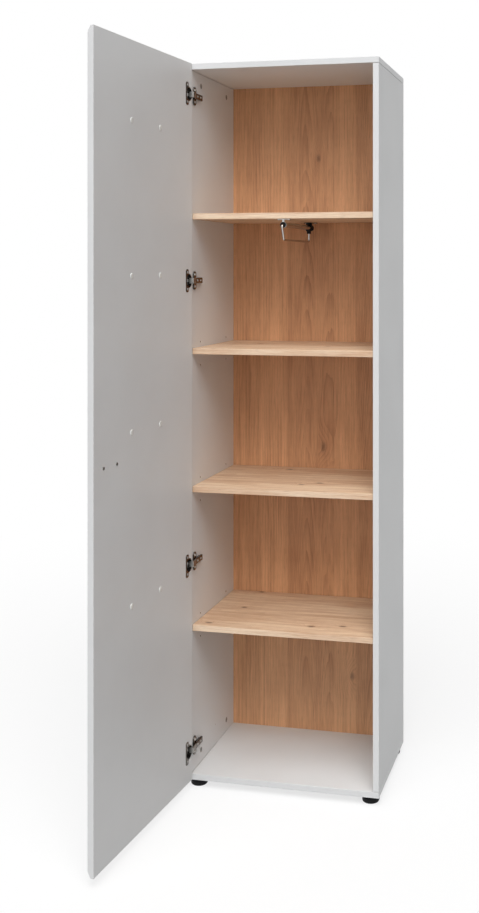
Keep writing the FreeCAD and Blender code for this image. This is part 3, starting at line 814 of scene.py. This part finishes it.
def white_board_pick(face_axis, rear_from, raw=lambda centre: False):
    """Pick for a white board: raw inside and at the rear edge, white on both faces, banded elsewhere."""
    def pick(normal, centre):
        rear = normal.y > LOOKS and centre.y > rear_from
        if rear or raw(centre):
            return WHITE_BOARD.index("chip")
        return WHITE_BOARD.index("white" if abs(normal[face_axis]) > LOOKS else "band")
    return pick


def side_holes(boards, side, inner):
    """Holes in a side board for the shelf pins, with the spare ones, and for the cam locks."""
    holes = []
    top_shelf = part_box("shelf_1")[0].z
    for node, depth in (("shelf_pins", boards.hole_depth), ("cam_locks", boards.cam_hole_depth)):
        for low, high in pieces_of(node):
            centre, radius = (low + high) / 2, (high.z - low.z) / 2 + boards.hole_play
            if centre.x * side > 0:
                continue
            spare = node == "shelf_pins" and centre.z < top_shelf
            for step in ((-1, 0, 1) if spare else (0,)):
                mouth = Vector((inner, centre.y, centre.z + step * boards.hole_step))
                holes.append((mouth, RIGHT * -side, radius, depth))
    return holes


class WARDROBE_OT_sides(bpy.types.Operator):
    """Build both side boards with their pin and cam holes and the groove for the back"""
    bl_idname = "wardrobe.sides"
    bl_label = "Side boards"

    def execute(self, context):
        boards = context.scene.wardrobe_boards
        back_low, back_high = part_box("back_panel")
        deep, play, seam = boards.groove_depth, boards.hole_play, UP * boards.seam
        for name, side in (("side_left", 1.0), ("side_right", -1.0)):
            low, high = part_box(name)
            inner = high.x if side > 0 else low.x
            holes = side_holes(boards, side, inner)
            if side > 0:
                mouth = Vector((inner, low.y + boards.pilot_from_front, boards.pilot_height))
                holes.append((mouth, -RIGHT, boards.pilot_radius, boards.hole_depth))
            board = add_block(name + "_board", low + seam, high - seam)
            round_all(board, boards.edge_round)
            cut = add_block(
                "groove", (inner - deep, back_low.y - play, low.z - deep),
                (inner + deep, back_high.y + play, high.z + deep),
            )
            combine(board, [cut], "DIFFERENCE")
            drill(board, holes)
            raw = inside(low, high, boards.edge_round)
            paint(board, WHITE_BOARD, white_board_pick(0, back_high.y + deep, raw))
            settle(board, CARCASS, "white_board", name)
        return {"FINISHED"}


class WARDROBE_OT_top_and_bottom(bpy.types.Operator):
    """Build the top and bottom boards with the groove for the back"""
    bl_idname = "wardrobe.top_and_bottom"
    bl_label = "Top and bottom boards"

    def execute(self, context):
        boards = context.scene.wardrobe_boards
        back_low, back_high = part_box("back_panel")
        deep, play = boards.groove_depth, boards.hole_play
        for name in ("top_panel", "bottom_panel"):
            low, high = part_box(name)
            inner = low.z if name == "top_panel" else high.z
            board = add_block(name + "_board", low, high)
            round_all(board, boards.edge_round)
            cut = add_block(
                "groove", (back_low.x - play, back_low.y - play, inner - deep),
                (back_high.x + play, back_high.y + play, inner + deep),
            )
            combine(board, [cut], "DIFFERENCE")
            paint(board, WHITE_BOARD, white_board_pick(2, back_high.y + deep))
            settle(board, CARCASS, "white_board", name)
        return {"FINISHED"}


class WARDROBE_OT_back(bpy.types.Operator):
    """Build the thin back board"""
    bl_idname = "wardrobe.back"
    bl_label = "Back board"

    def execute(self, context):
        board = add_block("back_board", *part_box("back_panel"))
        round_all(board, context.scene.wardrobe_boards.edge_round / 2)
        paint(board, ("oak_back", "hardboard"), lambda normal, centre: 0 if normal.y < -LOOKS else 1)
        settle(board, CARCASS, "oak_board", "back_panel")
        return {"FINISHED"}


class WARDROBE_OT_shelves(bpy.types.Operator):
    """Build the shelves"""
    bl_idname = "wardrobe.shelves"
    bl_label = "Shelves"

    def execute(self, context):
        boards = context.scene.wardrobe_boards
        for name in SHELF_KNOTS:
            low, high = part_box(name)
            board = add_block(name + "_board", low, high)
            round_all(board, boards.edge_round)
            holes = []
            for pin_low, pin_high in pieces_of("shelf_pins"):
                centre = (pin_low + pin_high) / 2
                if low.z < centre.z < high.z:
                    end, inward = (high.x, -RIGHT) if centre.x > 0 else (low.x, RIGHT)
                    radius = (pin_high.z - pin_low.z) / 2 + boards.hole_play
                    holes.append((Vector((end, centre.y, centre.z)), inward, radius, boards.hole_depth))
            if holes:
                drill(board, holes)
            paint(
                board, (name, "chip", "oak_band"),
                lambda normal, centre: 1 if normal.y > LOOKS or abs(normal.x) > LOOKS
                else 2 if normal.y < -LOOKS else 0,
            )
            settle(board, CARCASS, "oak_board", name)
        return {"FINISHED"}


class WARDROBE_OT_door(bpy.types.Operator):
    """Build the door leaf with its sloped ends and cup holes"""
    bl_idname = "wardrobe.door"
    bl_label = "Door leaf"

    def execute(self, context):
        boards, fittings = context.scene.wardrobe_boards, context.scene.wardrobe_fittings
        low, high = shut_box("door_leaf")
        leaf = add_block("door_leaf_board", low, high)
        deep, tall = boards.slope_depth, boards.slope_height
        for end_z, away in ((high.z, 1.0), (low.z, -1.0)):
            edit_all(leaf)
            bpy.ops.mesh.bisect(
                plane_co=(0.0, low.y + deep, end_z), plane_no=(0.0, -tall, away * deep),
                use_fill=True, clear_outer=True,
            )
            leave_edit()
        bends = (
            (low.y, (low.z + tall, high.z - tall), boards.slope_front_round, 5),
            (low.y + deep, (low.z, high.z), boards.slope_edge_round, 4),
        )
        for line_y, line_z, width, segments in bends:
            bevel_edges(leaf, width, segments, lambda a, b: all(
                abs(end.y - line_y) < NEAR and min(abs(end.z - z) for z in line_z) < NEAR for end in (a, b)
            ))
        bevel_edges(leaf, boards.edge_round, 2, lambda a, b: any(
            abs(a[axis] - limit[axis]) < NEAR and abs(b[axis] - limit[axis]) < NEAR
            for limit, axis in ((low, 0), (high, 0), (high, 1))
        ))
        holes = []
        for number in HINGES:
            cup_low, cup_high = shut_box("hinge_cup_" + str(number))
            centre = (cup_low + cup_high) / 2
            mouth = Vector((centre.x, high.y, centre.z))
            radius = fittings.cup_radius + boards.hole_play
            holes.append((mouth, -BACK, radius, high.y - cup_low.y + boards.hole_play, 48))
        drill(leaf, holes)
        paint(leaf, ("white", "band"), lambda normal, centre: 0 if abs(normal.y) > LEANS else 1)
        swing_open(leaf)
        settle(leaf, DOOR, "white_board", "door_leaf")
        return {"FINISHED"}


# Fittings

class WARDROBE_OT_shelf_pins(bpy.types.Operator):
    """Build the shelf pins with their rounded ends"""
    bl_idname = "wardrobe.shelf_pins"
    bl_label = "Shelf pins"

    def execute(self, context):
        boxes = pieces_of("shelf_pins")
        size = boxes[0][1] - boxes[0][0]
        pin = add_turned("shelf_pin", round_bar(size.z / 2, -size.x / 2, size.x / 2, size.z / 10), 20)
        pins = set_out(pin, "shelf_pin_set", [facing((low + high) / 2, RIGHT) for low, high in boxes])
        dress(pins, "nickel", CARCASS, "nickel_steel", "shelf_pins")
        return {"FINISHED"}


class WARDROBE_OT_corner_joints(bpy.types.Operator):
    """Finish the cam locks, the cam bolts and the dowels"""
    bl_idname = "wardrobe.corner_joints"
    bl_label = "Corner joints"

    def execute(self, context):
        finish_nodes("zinc", "cam_locks")
        finish_nodes("nickel", "cam_bolts")
        finish_nodes("beech", "wood_dowels")
        return {"FINISHED"}


# Hinge shares: rounding of a wing in its half depth, web in its thickness and in the eye's height,
# ease of an eye in its radius and of a cup's rim in its sheet
WING_ROUND = 0.9
WEB_THICK, WEB_TALL = 0.96, 0.9
EYE_EASE, RIM_EASE = 0.1, 0.4


def set_on_hinges(pattern, node, swing, accent="bright", pick=lambda normal, centre: 0):
    """Copy a hinge part, made at height zero, to all four hinges; pick chooses the faces of its accent."""
    paint(pattern, ("nickel", accent), pick)
    for number in HINGES:
        name = node + str(number)
        low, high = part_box(name)
        move_to(copy_of(pattern), Matrix.Translation(UP * (low.z + high.z) / 2))
        part = named(name + "_part")
        if swing:
            swing_open(part)
        smooth(part)
        settle(part, DOOR if swing else CARCASS, "nickel_steel", name)
    bpy.data.objects.remove(pattern)


class WARDROBE_OT_hinge_plates(bpy.types.Operator):
    """Build the hinge plates with their rounded wings"""
    bl_idname = "wardrobe.hinge_plates"
    bl_label = "Hinge plates"

    def execute(self, context):
        fittings = context.scene.wardrobe_fittings
        low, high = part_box("hinge_plate_1")
        screw_low, screw_high = pieces_of("plate_screws")[0]
        middle = (screw_low.y + screw_high.y) / 2
        wide, half = fittings.wing_width / 2, (high.z - low.z) / 2
        top = screw_high.x - fittings.screw_head
        wing = add_block("hinge_plate", (low.x, middle - wide, -half), (top, middle + wide, half))
        bevel_edges(wing, wide * WING_ROUND, 7, along(RIGHT))
        bevel_edges(wing, fittings.sheet_ease, 2, lambda a, b: min(a.x, b.x) > top - NEAR)
        seat_half = fittings.channel_half - fittings.sheet - fittings.arm_play
        seat_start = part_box("side_left")[0].y + fittings.seat_start
        seat = add_block("seat", (low.x, seat_start, -seat_half), (high.x, high.y, seat_half))
        bevel_edges(seat, fittings.seat_round, 3, lambda a, b: min(a.x, b.x) > high.x - NEAR)
        combine(wing, [seat], "UNION")
        set_on_hinges(
            wing, "hinge_plate_", False, "bright",
            lambda normal, centre: 1 if normal.x > LOOKS and centre.x > top + NEAR else 0,
        )
        return {"FINISHED"}


class WARDROBE_OT_hinge_arms(bpy.types.Operator):
    """Build the hinge arms, folded from sheet, with nose, web and eye"""
    bl_idname = "wardrobe.hinge_arms"
    bl_label = "Hinge arms"

    def execute(self, context):
        fittings = context.scene.wardrobe_fittings
        sheet, half, nose_half = fittings.sheet, fittings.channel_half, fittings.nose_half
        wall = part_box("side_left")[1].x
        plate_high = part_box("hinge_plate_1")[1].x
        nose_x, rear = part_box("hinge_arm_1")[1].xy
        screws = sorted(pieces_of("arm_screws"), key=lambda box: box[1].y)
        top = screws[0][1].x - fittings.arm_screw_head
        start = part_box("side_left")[0].y + fittings.channel_start
        cheek = pieces_of("plate_screws")[0][1].x - fittings.screw_head + fittings.arm_play
        arm = add_block("hinge_arm", (cheek, start, -half), (top, rear, half))
        bevel_edges(
            arm, fittings.arm_round, 4, lambda a, b: along(BACK)(a, b) and min(a.x, b.x) > top - NEAR,
        )
        channel = add_block(
            "channel", (cheek - sheet, start - sheet, sheet - half),
            (top - sheet, rear + sheet, half - sheet),
        )
        slot_y = (screws[-1][0].y + screws[-1][1].y) / 2
        slot = add_block(
            "slot", (top - 2 * sheet, slot_y - fittings.slot_front, -fittings.slot_half),
            (top + sheet, slot_y + fittings.slot_rear, fittings.slot_half),
        )
        bevel_edges(slot, fittings.arm_round, 4, along(RIGHT))
        combine(arm, [channel, slot], "DIFFERENCE")

        front = PIVOT.y - fittings.web / 2
        outline = (
            (wall, front), (nose_x, front), (top, start + sheet), (plate_high, start + sheet),
            (nose_x - fittings.web, PIVOT.y), (wall, PIVOT.y),
        )
        nose = add_outline("nose", [(x, y, -nose_half) for x, y in outline], (0.0, 0.0, 2 * nose_half))
        bevel_edges(nose, fittings.nose_round, 4, lambda a, b: along(UP)(a, b) and a.x > nose_x - NEAR)
        eye_half, eye_radius = fittings.eye_half, fittings.eye_radius
        web_half, web_tall = fittings.web * WEB_THICK / 2, eye_half * WEB_TALL
        web = add_block(
            "web", (PIVOT.x, PIVOT.y - web_half, -web_tall), (nose_x - sheet, PIVOT.y + web_half, web_tall),
        )
        eye = add_turned("eye", round_bar(eye_radius, -eye_half, eye_half, eye_radius * EYE_EASE), 24)
        axle = Vector((PIVOT.x, PIVOT.y, 0.0))
        move_to(eye, Matrix.Translation(axle))
        combine(arm, [nose, web, eye], "UNION")
        pin_low, pin_high = pieces_of("hinge_pins", SHUT_DOOR)[0]
        pin_radius = (pin_high.x - pin_low.x) / 2 + fittings.pin_play
        drill(arm, [(axle, UP, pin_radius, 2 * eye_half)])
        set_on_hinges(
            arm, "hinge_arm_", False, "link", lambda normal, centre: 1 if centre.y < start - NEAR else 0,
        )
        return {"FINISHED"}


class WARDROBE_OT_hinge_cups(bpy.types.Operator):
    """Build the hinge cups with rim and rounded ears, and finish their pins"""
    bl_idname = "wardrobe.hinge_cups"
    bl_label = "Hinge cups"

    def execute(self, context):
        fittings = context.scene.wardrobe_fittings
        low, high = shut_box("hinge_cup_1")
        middle, rim, half = (low.x + high.x) / 2, (high.x - low.x) / 2, (high.z - low.z) / 2
        sheet, radius = fittings.sheet, fittings.cup_radius
        mouth, ease = high.y - sheet, sheet * RIM_EASE
        deep = mouth - low.y
        cup = add_block(
            "hinge_cup", (middle + fittings.ear_start, mouth, -half), (high.x, high.y, half),
        )
        bevel_edges(cup, fittings.ear_round, 7, along(BACK))
        bevel_edges(cup, fittings.sheet_ease, 2, lambda a, b: min(a.y, b.y) > high.y - NEAR)
        disc = add_turned("rim", [(rim, 0.0), (rim, sheet - ease), (rim - ease, sheet)], 64)
        bowl = add_turned("bowl", [(radius, sheet / 2), (radius, sheet - deep), (radius - sheet, -deep)], 64)
        for part in (disc, bowl):
            move_to(part, facing(Vector((middle, mouth, 0.0)), BACK))
        combine(cup, [disc, bowl], "UNION")
        hollow = radius - fittings.cup_wall
        drill(cup, [(Vector((middle, high.y, 0.0)), -BACK, hollow, deep + sheet / 2, 64)])
        set_on_hinges(cup, "hinge_cup_", True)
        finish_nodes("nickel", "hinge_pins")
        return {"FINISHED"}


# Screws: node, body, way the head looks with the door shut, name of the head height, finish
SCREWS = (
    ("plate_screws", CARCASS, RIGHT, "screw_head", "bright"),
    ("arm_screws", CARCASS, RIGHT, "arm_screw_head", "bright"),
    ("cup_screws", DOOR, BACK, "screw_head", "link"),
    ("handle_screws", DOOR, BACK, "handle_screw_head", "nickel"),
    ("rail_screws", CARCASS, -UP, "screw_head", "bright"),
    ("foot_screws", CARCASS, -UP, "screw_head", "bright"),
)

# Outlines as shares of radius and height: screw head, screw cap, handle collar and lip of the rail's bush
HEAD_OUTLINE = ((0.45, 1.0), (0.72, 0.93), (0.9, 0.7), (1.0, 0.3), (1.0, 0.0))
CAP_OUTLINE = ((0.5, 0.9), (0.62, 1.0), (0.82, 1.0), (0.93, 0.85), (0.99, 0.5), (1.0, 0.0))
COLLAR_OUTLINE = ((1.35, 0.0), (1.35, 0.3), (1.2, 0.5), (0.9, 0.55))
LIP_OUTLINE = ((1.0, 0.0), (1.0, 0.6), (0.95, 0.85), (0.85, 1.0))

# Crossed slots: half length and half width as shares of the head's radius, floor as a share of its height
SLOT_LONG, SLOT_THIN, SLOT_FLOOR = 0.55, 0.11, 0.45


class WARDROBE_OT_screws(bpy.types.Operator):
    """Build the screws with domed heads and crossed slots"""
    bl_idname = "wardrobe.screws"
    bl_label = "Screws"

    def execute(self, context):
        fittings = context.scene.wardrobe_fittings
        for node, body, way, head_name, finish in SCREWS:
            boxes = pieces_of(node, SHUT_DOOR if body == DOOR else Matrix.Identity(4))
            size = boxes[0][1] - boxes[0][0]
            total, head = abs(size.dot(way)), getattr(fittings, head_name)
            radius = max(size[axis] for axis in AXES if not way[axis]) / 2
            shank = radius / 2
            screw = add_turned(node + "_pattern", scaled(HEAD_OUTLINE, radius, head) + [
                (shank, 0.0), (shank, head + shank - total), (shank / 4, head - total),
            ], 24)
            arm, thin, deep = radius * SLOT_LONG, radius * SLOT_THIN, head * SLOT_FLOOR
            slots = [
                add_block("slot", (-long_x, -long_y, deep), (long_x, long_y, 2 * head))
                for long_x, long_y in ((arm, thin), (thin, arm))
            ]
            combine(screw, slots, "DIFFERENCE")
            places = [facing((low + high) / 2 + way * (total / 2 - head), way) for low, high in boxes]
            screws = set_out(screw, node + "_set", places)
            if body == DOOR:
                swing_open(screws)
            dress(screws, finish, body, "nickel_steel", node)
        return {"FINISHED"}


class WARDROBE_OT_screw_caps(bpy.types.Operator):
    """Build the white screw caps on the inner face of the door"""
    bl_idname = "wardrobe.screw_caps"
    bl_label = "Screw caps"

    def execute(self, context):
        boxes = pieces_of("screw_caps", SHUT_DOOR)
        size = boxes[0][1] - boxes[0][0]
        radius, height = size.x / 2, context.scene.wardrobe_fittings.cap_height
        stem = radius / 3
        outline = scaled(CAP_OUTLINE, radius, height) + [(stem, 0.0), (stem, height - size.y)]
        cap = add_turned("screw_cap", outline, 40)
        foot = boxes[0][1].y - height
        places = [
            facing(Vector(((low.x + high.x) / 2, foot, (low.z + high.z) / 2)), BACK) for low, high in boxes
        ]
        caps = set_out(cap, "screw_cap_set", places)
        swing_open(caps)
        dress(caps, "cap", DOOR, "white_plastic", "screw_caps")
        return {"FINISHED"}


class WARDROBE_OT_handle(bpy.types.Operator):
    """Build the bow handle with its two collars"""
    bl_idname = "wardrobe.handle"
    bl_label = "Handle"

    def execute(self, context):
        low, high = shut_box("handle")
        radius, level = (high.z - low.z) / 2, (low.z + high.z) / 2
        feet = [Vector((x, high.y, level)) for x in (low.x + radius, high.x - radius)]
        out = Vector((0.0, low.y + radius - high.y, 0.0))
        points = [feet[0], feet[0] + out, feet[1] + out, feet[1]]
        bow = add_bent_rod("handle_bow", points, context.scene.wardrobe_fittings.handle_bend, radius, 28, 12)
        for foot in feet:
            collar = add_turned("collar", scaled(COLLAR_OUTLINE, radius, radius), 28)
            move_to(collar, facing(foot, -BACK))
            combine(bow, [collar], "UNION")
        swing_open(bow)
        dress(bow, "steel", DOOR, "satin_steel", "handle")
        return {"FINISHED"}


# Rounding of the rail brackets' plates as a share of their depth
BRACKET_ROUND = 0.45


class WARDROBE_OT_hanger_rail(bpy.types.Operator):
    """Build the hanger rail: tube, brackets, bush, rod and slider"""
    bl_idname = "wardrobe.hanger_rail"
    bl_label = "Hanger rail"

    def execute(self, context):
        fittings = context.scene.wardrobe_fittings
        low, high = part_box("rail_tube")
        radius, level, run = (high.x - low.x) / 2, (low.z + high.z) / 2, high.y - low.y
        middle = Vector((0.0, (low.y + high.y) / 2, level))
        mouth = Vector((0.0, low.y, level))
        play, ease = fittings.pin_play, fittings.rail_wall / 3
        made = {}

        tube = add_turned("tube", round_bar(radius, 0.0, run, ease), 40)
        made["rail_tube"] = set_out(tube, "rail_tube_part", [facing(mouth, BACK)])
        drill(made["rail_tube"], [(middle, BACK, radius - fittings.rail_wall, run, 40)])

        plate_low = pieces_of("rail_screws")[0][0].z + fittings.screw_head
        post = fittings.post_half
        for name in ("rail_bracket_front", "rail_bracket_rear"):
            low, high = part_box(name)
            centre = Vector((0.0, (low.y + high.y) / 2, level))
            bracket = add_block(name + "_part", (low.x, low.y, plate_low), high)
            wide = high.y - low.y
            bevel_edges(bracket, wide * BRACKET_ROUND, 6, along(UP))
            stem = add_block("stem", (-post, low.y, level), (post, high.y, plate_low + ease))
            ring = add_turned("ring", round_bar(level - low.z, 0.0, wide, ease), 40)
            move_to(ring, facing(Vector((0.0, low.y, level)), BACK))
            combine(bracket, [stem, ring], "UNION")
            drill(bracket, [(centre, BACK, radius + play, wide, 40)])
            made[name] = bracket

        low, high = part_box("rail_bush")
        collar, lip = (high.x - low.x) / 2, mouth.y - low.y
        plug = radius - fittings.rail_wall - play
        bush = add_turned(
            "bush", [(plug, mouth.y - high.y), (plug, 0.0)] + scaled(LIP_OUTLINE, collar, lip), 40,
        )
        made["rail_bush"] = set_out(bush, "rail_bush_part", [facing(mouth, -BACK)])

        low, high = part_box("rail_loop")
        rod = (high.x - low.x) / 2
        front, tail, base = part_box("side_left")[0].y, high.y - rod, low.z + rod
        drill(made["rail_bush"], [(mouth, BACK, rod + play, run, 28)])
        slider_low, slider_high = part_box("rail_slider")
        socket = slider_low.z + fittings.rod_socket
        runs = (
            (tail, level), (front + fittings.rod_nose, level), (front + fittings.rod_heel, base),
            (tail, base), (tail, socket),
        )
        points = [Vector((0.0, y, z)) for y, z in runs]
        made["rail_loop"] = add_bent_rod("rail_loop_part", points, fittings.rod_bend, rod, 24, 10)

        foot, shoulder = fittings.slider_foot, level - fittings.slider_below
        slider = add_block("rail_slider_part", (slider_low.x, slider_low.y, shoulder), slider_high)
        bevel_edges(slider, fittings.slider_round, 5, along(BACK))
        leg = add_block("leg", (-foot, slider_low.y, slider_low.z), (foot, slider_high.y, shoulder + ease))
        bevel_edges(leg, ease * 2, 3, lambda a, b: max(a.z, b.z) < slider_low.z + NEAR)
        combine(slider, [leg], "UNION")
        drill(slider, [(Vector((0.0, slider_low.y, level)), BACK, radius + play, run, 40)])
        made["rail_slider"] = slider

        for name, part in made.items():
            if name in ("rail_bush", "rail_slider", "rail_bracket_rear"):
                dress(part, "black", CARCASS, "black_plastic", name)
            else:
                dress(part, "chrome", CARCASS, "chrome", name)
        return {"FINISHED"}


# Feet: lip beside the groove as a share of the height, and steps in the rounding of the lower edge
FOOT_LIP, FOOT_STEPS = 0.05, 6


class WARDROBE_OT_feet(bpy.types.Operator):
    """Build the round black feet with a groove, a rounded lower edge and a screw recess"""
    bl_idname = "wardrobe.feet"
    bl_label = "Feet"

    def execute(self, context):
        fittings = context.scene.wardrobe_fittings
        names = ["foot_" + end + "_" + side for end in ("front", "rear") for side in ("left", "right")]
        low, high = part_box(names[0])
        radius, tall, bend = (high.x - low.x) / 2, high.z - low.z, fittings.foot_round
        curve = [
            (radius - bend + bend * math.cos(turn), bend - bend * math.sin(turn))
            for turn in (math.pi / 2 * step / FOOT_STEPS for step in range(FOOT_STEPS + 1))
        ]
        lip = tall * FOOT_LIP
        profile = [
            (radius - lip / 2, tall), (radius, tall - lip / 2), (radius, tall - 4 * lip),
            (radius - lip, tall - 4.5 * lip), (radius - lip, tall - 6 * lip), (radius, tall - 6.5 * lip),
        ]
        recess = [(fittings.recess_radius, 0.0), (fittings.recess_radius, fittings.foot_recess)]
        foot = add_turned("foot", profile + curve + recess, 64)
        for name in names:
            low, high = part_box(name)
            move_to(copy_of(foot), Matrix.Translation(((low.x + high.x) / 2, (low.y + high.y) / 2, low.z)))
            dress(named(name + "_part"), "black", CARCASS, "black_plastic", name)
        bpy.data.objects.remove(foot)
        return {"FINISHED"}


# Stage

PLAIN_WHITE = (1.0, 1.0, 1.0, 1.0)
FLOOR_ROUGH = 0.9
SIDE_LIGHT_FROM = (-0.8, 0.6, 0.0)

# Broad lights: name, name of the strength, then rise, turn to the right and softness in degrees
SUNS = (
    ("front_light", "front_strength", 24.0, 20.0, 60.0),
    ("high_light", "high_strength", 60.0, 10.0, 50.0),
)


def shown_rays(tree):
    """One for rays that show a thing to the camera, straight, through glass or mirrored, else nought."""
    path = put(tree, "ShaderNodeLightPath").outputs
    direct = sums(tree, "MAXIMUM", path["Is Camera Ray"], path["Is Transmission Ray"])
    return sums(tree, "MAXIMUM", direct, path["Is Glossy Ray"])


def lay_floor(settings):
    """A pale floor that takes the shadow and turns plain white further out."""
    bpy.ops.object.select_all(action="DESELECT")
    bpy.ops.mesh.primitive_plane_add(size=settings.floor_size)
    floor = named("stage_floor")
    made, tree, shader, position = material("Pale floor")
    shader.inputs["Roughness"].default_value = FLOOR_ROUGH
    shader.inputs["Specular IOR Level"].default_value = 0.0
    shader.inputs["Emission Color"].default_value = PLAIN_WHITE
    seen = shown_rays(tree)
    reach = put(tree, "ShaderNodeVectorMath", {0: position}, operation="LENGTH").outputs["Value"]
    near, far = settings.glow_start, settings.glow_end
    glow = ramp(tree, reach, near, far, settings.floor_glow, 1.0)
    tree.links.new(sums(tree, "MULTIPLY", seen, glow), shader.inputs["Emission Strength"])
    shade = ramp(tree, reach, near, far, settings.floor_shade, 0.0)
    change = sums(tree, "SUBTRACT", shade, settings.floor_pale)
    grey = sums(tree, "MULTIPLY_ADD", seen, change, settings.floor_pale)
    tree.links.new(grey, shader.inputs["Base Color"])
    floor.data.materials.append(made)


def hang_backdrop(scene, settings):
    """A backdrop that is plain white to the camera and a soft light to the wardrobe."""
    world = bpy.data.worlds.new("Studio")
    scene.world = world
    world.use_nodes = True
    sky = world.node_tree
    backdrop = sky.nodes["Background"]
    backdrop.inputs["Color"].default_value = PLAIN_WHITE
    way = put(sky, "ShaderNodeTexCoord").outputs["Generated"]
    from_side = put(sky, "ShaderNodeVectorMath", {0: way, 1: SIDE_LIGHT_FROM}, operation="DOT_PRODUCT")
    side = sums(sky, "MAXIMUM", from_side.outputs["Value"], 0.0)
    soft = sums(sky, "MULTIPLY_ADD", side, settings.side_strength, settings.fill_strength)
    sky.links.new(sums(sky, "MAXIMUM", shown_rays(sky), soft), backdrop.inputs["Strength"])


def hang_lights(settings):
    """Two broad lights from the front and a large lamp above it."""
    for name, strength, rise, to_right, softness in SUNS:
        bpy.ops.object.light_add(
            type="SUN", rotation=(math.radians(90.0 - rise), 0.0, math.radians(to_right)),
        )
        sun = named(name)
        sun.data.energy = getattr(settings, strength)
        sun.data.angle = math.radians(softness)
    place = Vector(settings.lamp_place)
    aim = Vector(settings.lamp_aim) - place
    bpy.ops.object.light_add(
        type="AREA", location=place, rotation=aim.to_track_quat("-Z", "Y").to_euler(),
    )
    lamp = named("large_lamp")
    lamp.data.energy = settings.lamp_power
    lamp.data.size = settings.lamp_size


def place_camera(scene, settings):
    """A level camera that stands where the photograph was taken."""
    bpy.ops.object.camera_add(
        location=settings.camera_place, rotation=(math.pi / 2, 0.0, settings.camera_turn),
    )
    camera = named("photo_camera")
    camera.data.lens = settings.lens
    camera.data.sensor_width = settings.sensor
    camera.data.shift_x, camera.data.shift_y = settings.shift
    camera.data.dof.use_dof = False
    scene.camera = camera
    scene.view_settings.view_transform = "Standard"


class WARDROBE_OT_stage(bpy.types.Operator):
    """Set up the floor, the backdrop, the lights and the camera"""
    bl_idname = "wardrobe.stage"
    bl_label = "Stage"

    def execute(self, context):
        settings = context.scene.wardrobe_stage
        lay_floor(settings)
        hang_backdrop(context.scene, settings)
        hang_lights(settings)
        place_camera(context.scene, settings)
        return {"FINISHED"}


class WARDROBE_PT_panel(bpy.types.Panel):
    """Sizes, colours and steps of the wardrobe"""
    bl_idname = "WARDROBE_PT_panel"
    bl_label = "Wardrobe"
    bl_space_type = "VIEW_3D"
    bl_region_type = "UI"
    bl_category = "Wardrobe"

    def draw(self, context):
        layout = self.layout
        for group_name in SETTINGS:
            settings = getattr(context.scene, group_name)
            box = layout.box()
            for name in settings.bl_rna.properties.keys():
                if name not in ("rna_type", "name"):
                    box.prop(settings, name)
        for step in STEPS:
            layout.operator(step.bl_idname)


SETTINGS = {
    "wardrobe_boards": WardrobeBoards,
    "wardrobe_fittings": WardrobeFittings,
    "wardrobe_colours": WardrobeColours,
    "wardrobe_stage": WardrobeStage,
}
STEPS = (
    WARDROBE_OT_sides,
    WARDROBE_OT_top_and_bottom,
    WARDROBE_OT_back,
    WARDROBE_OT_shelves,
    WARDROBE_OT_door,
    WARDROBE_OT_shelf_pins,
    WARDROBE_OT_corner_joints,
    WARDROBE_OT_hinge_plates,
    WARDROBE_OT_hinge_arms,
    WARDROBE_OT_hinge_cups,
    WARDROBE_OT_screws,
    WARDROBE_OT_screw_caps,
    WARDROBE_OT_handle,
    WARDROBE_OT_hanger_rail,
    WARDROBE_OT_feet,
    WARDROBE_OT_stage,
)


def register():
    for name, kind in SETTINGS.items():
        bpy.utils.register_class(kind)
        setattr(bpy.types.Scene, name, bpy.props.PointerProperty(type=kind))
    for kind in STEPS + (WARDROBE_PT_panel,):
        bpy.utils.register_class(kind)


def unregister():
    for kind in reversed(STEPS + (WARDROBE_PT_panel,)):
        bpy.utils.unregister_class(kind)
    for name, kind in reversed(SETTINGS.items()):
        delattr(bpy.types.Scene, name)
        bpy.utils.unregister_class(kind)


def main():
    register()
    make_finishes(bpy.context.scene.wardrobe_colours)
    bpy.ops.wardrobe.sides()
    bpy.ops.wardrobe.top_and_bottom()
    bpy.ops.wardrobe.back()
    bpy.ops.wardrobe.shelves()
    bpy.ops.wardrobe.door()
    bpy.ops.wardrobe.shelf_pins()
    bpy.ops.wardrobe.corner_joints()
    bpy.ops.wardrobe.hinge_plates()
    bpy.ops.wardrobe.hinge_arms()
    bpy.ops.wardrobe.hinge_cups()
    bpy.ops.wardrobe.screws()
    bpy.ops.wardrobe.screw_caps()
    bpy.ops.wardrobe.handle()
    bpy.ops.wardrobe.hanger_rail()
    bpy.ops.wardrobe.feet()
    bpy.ops.wardrobe.stage()


if __name__ == "__main__":
    main()
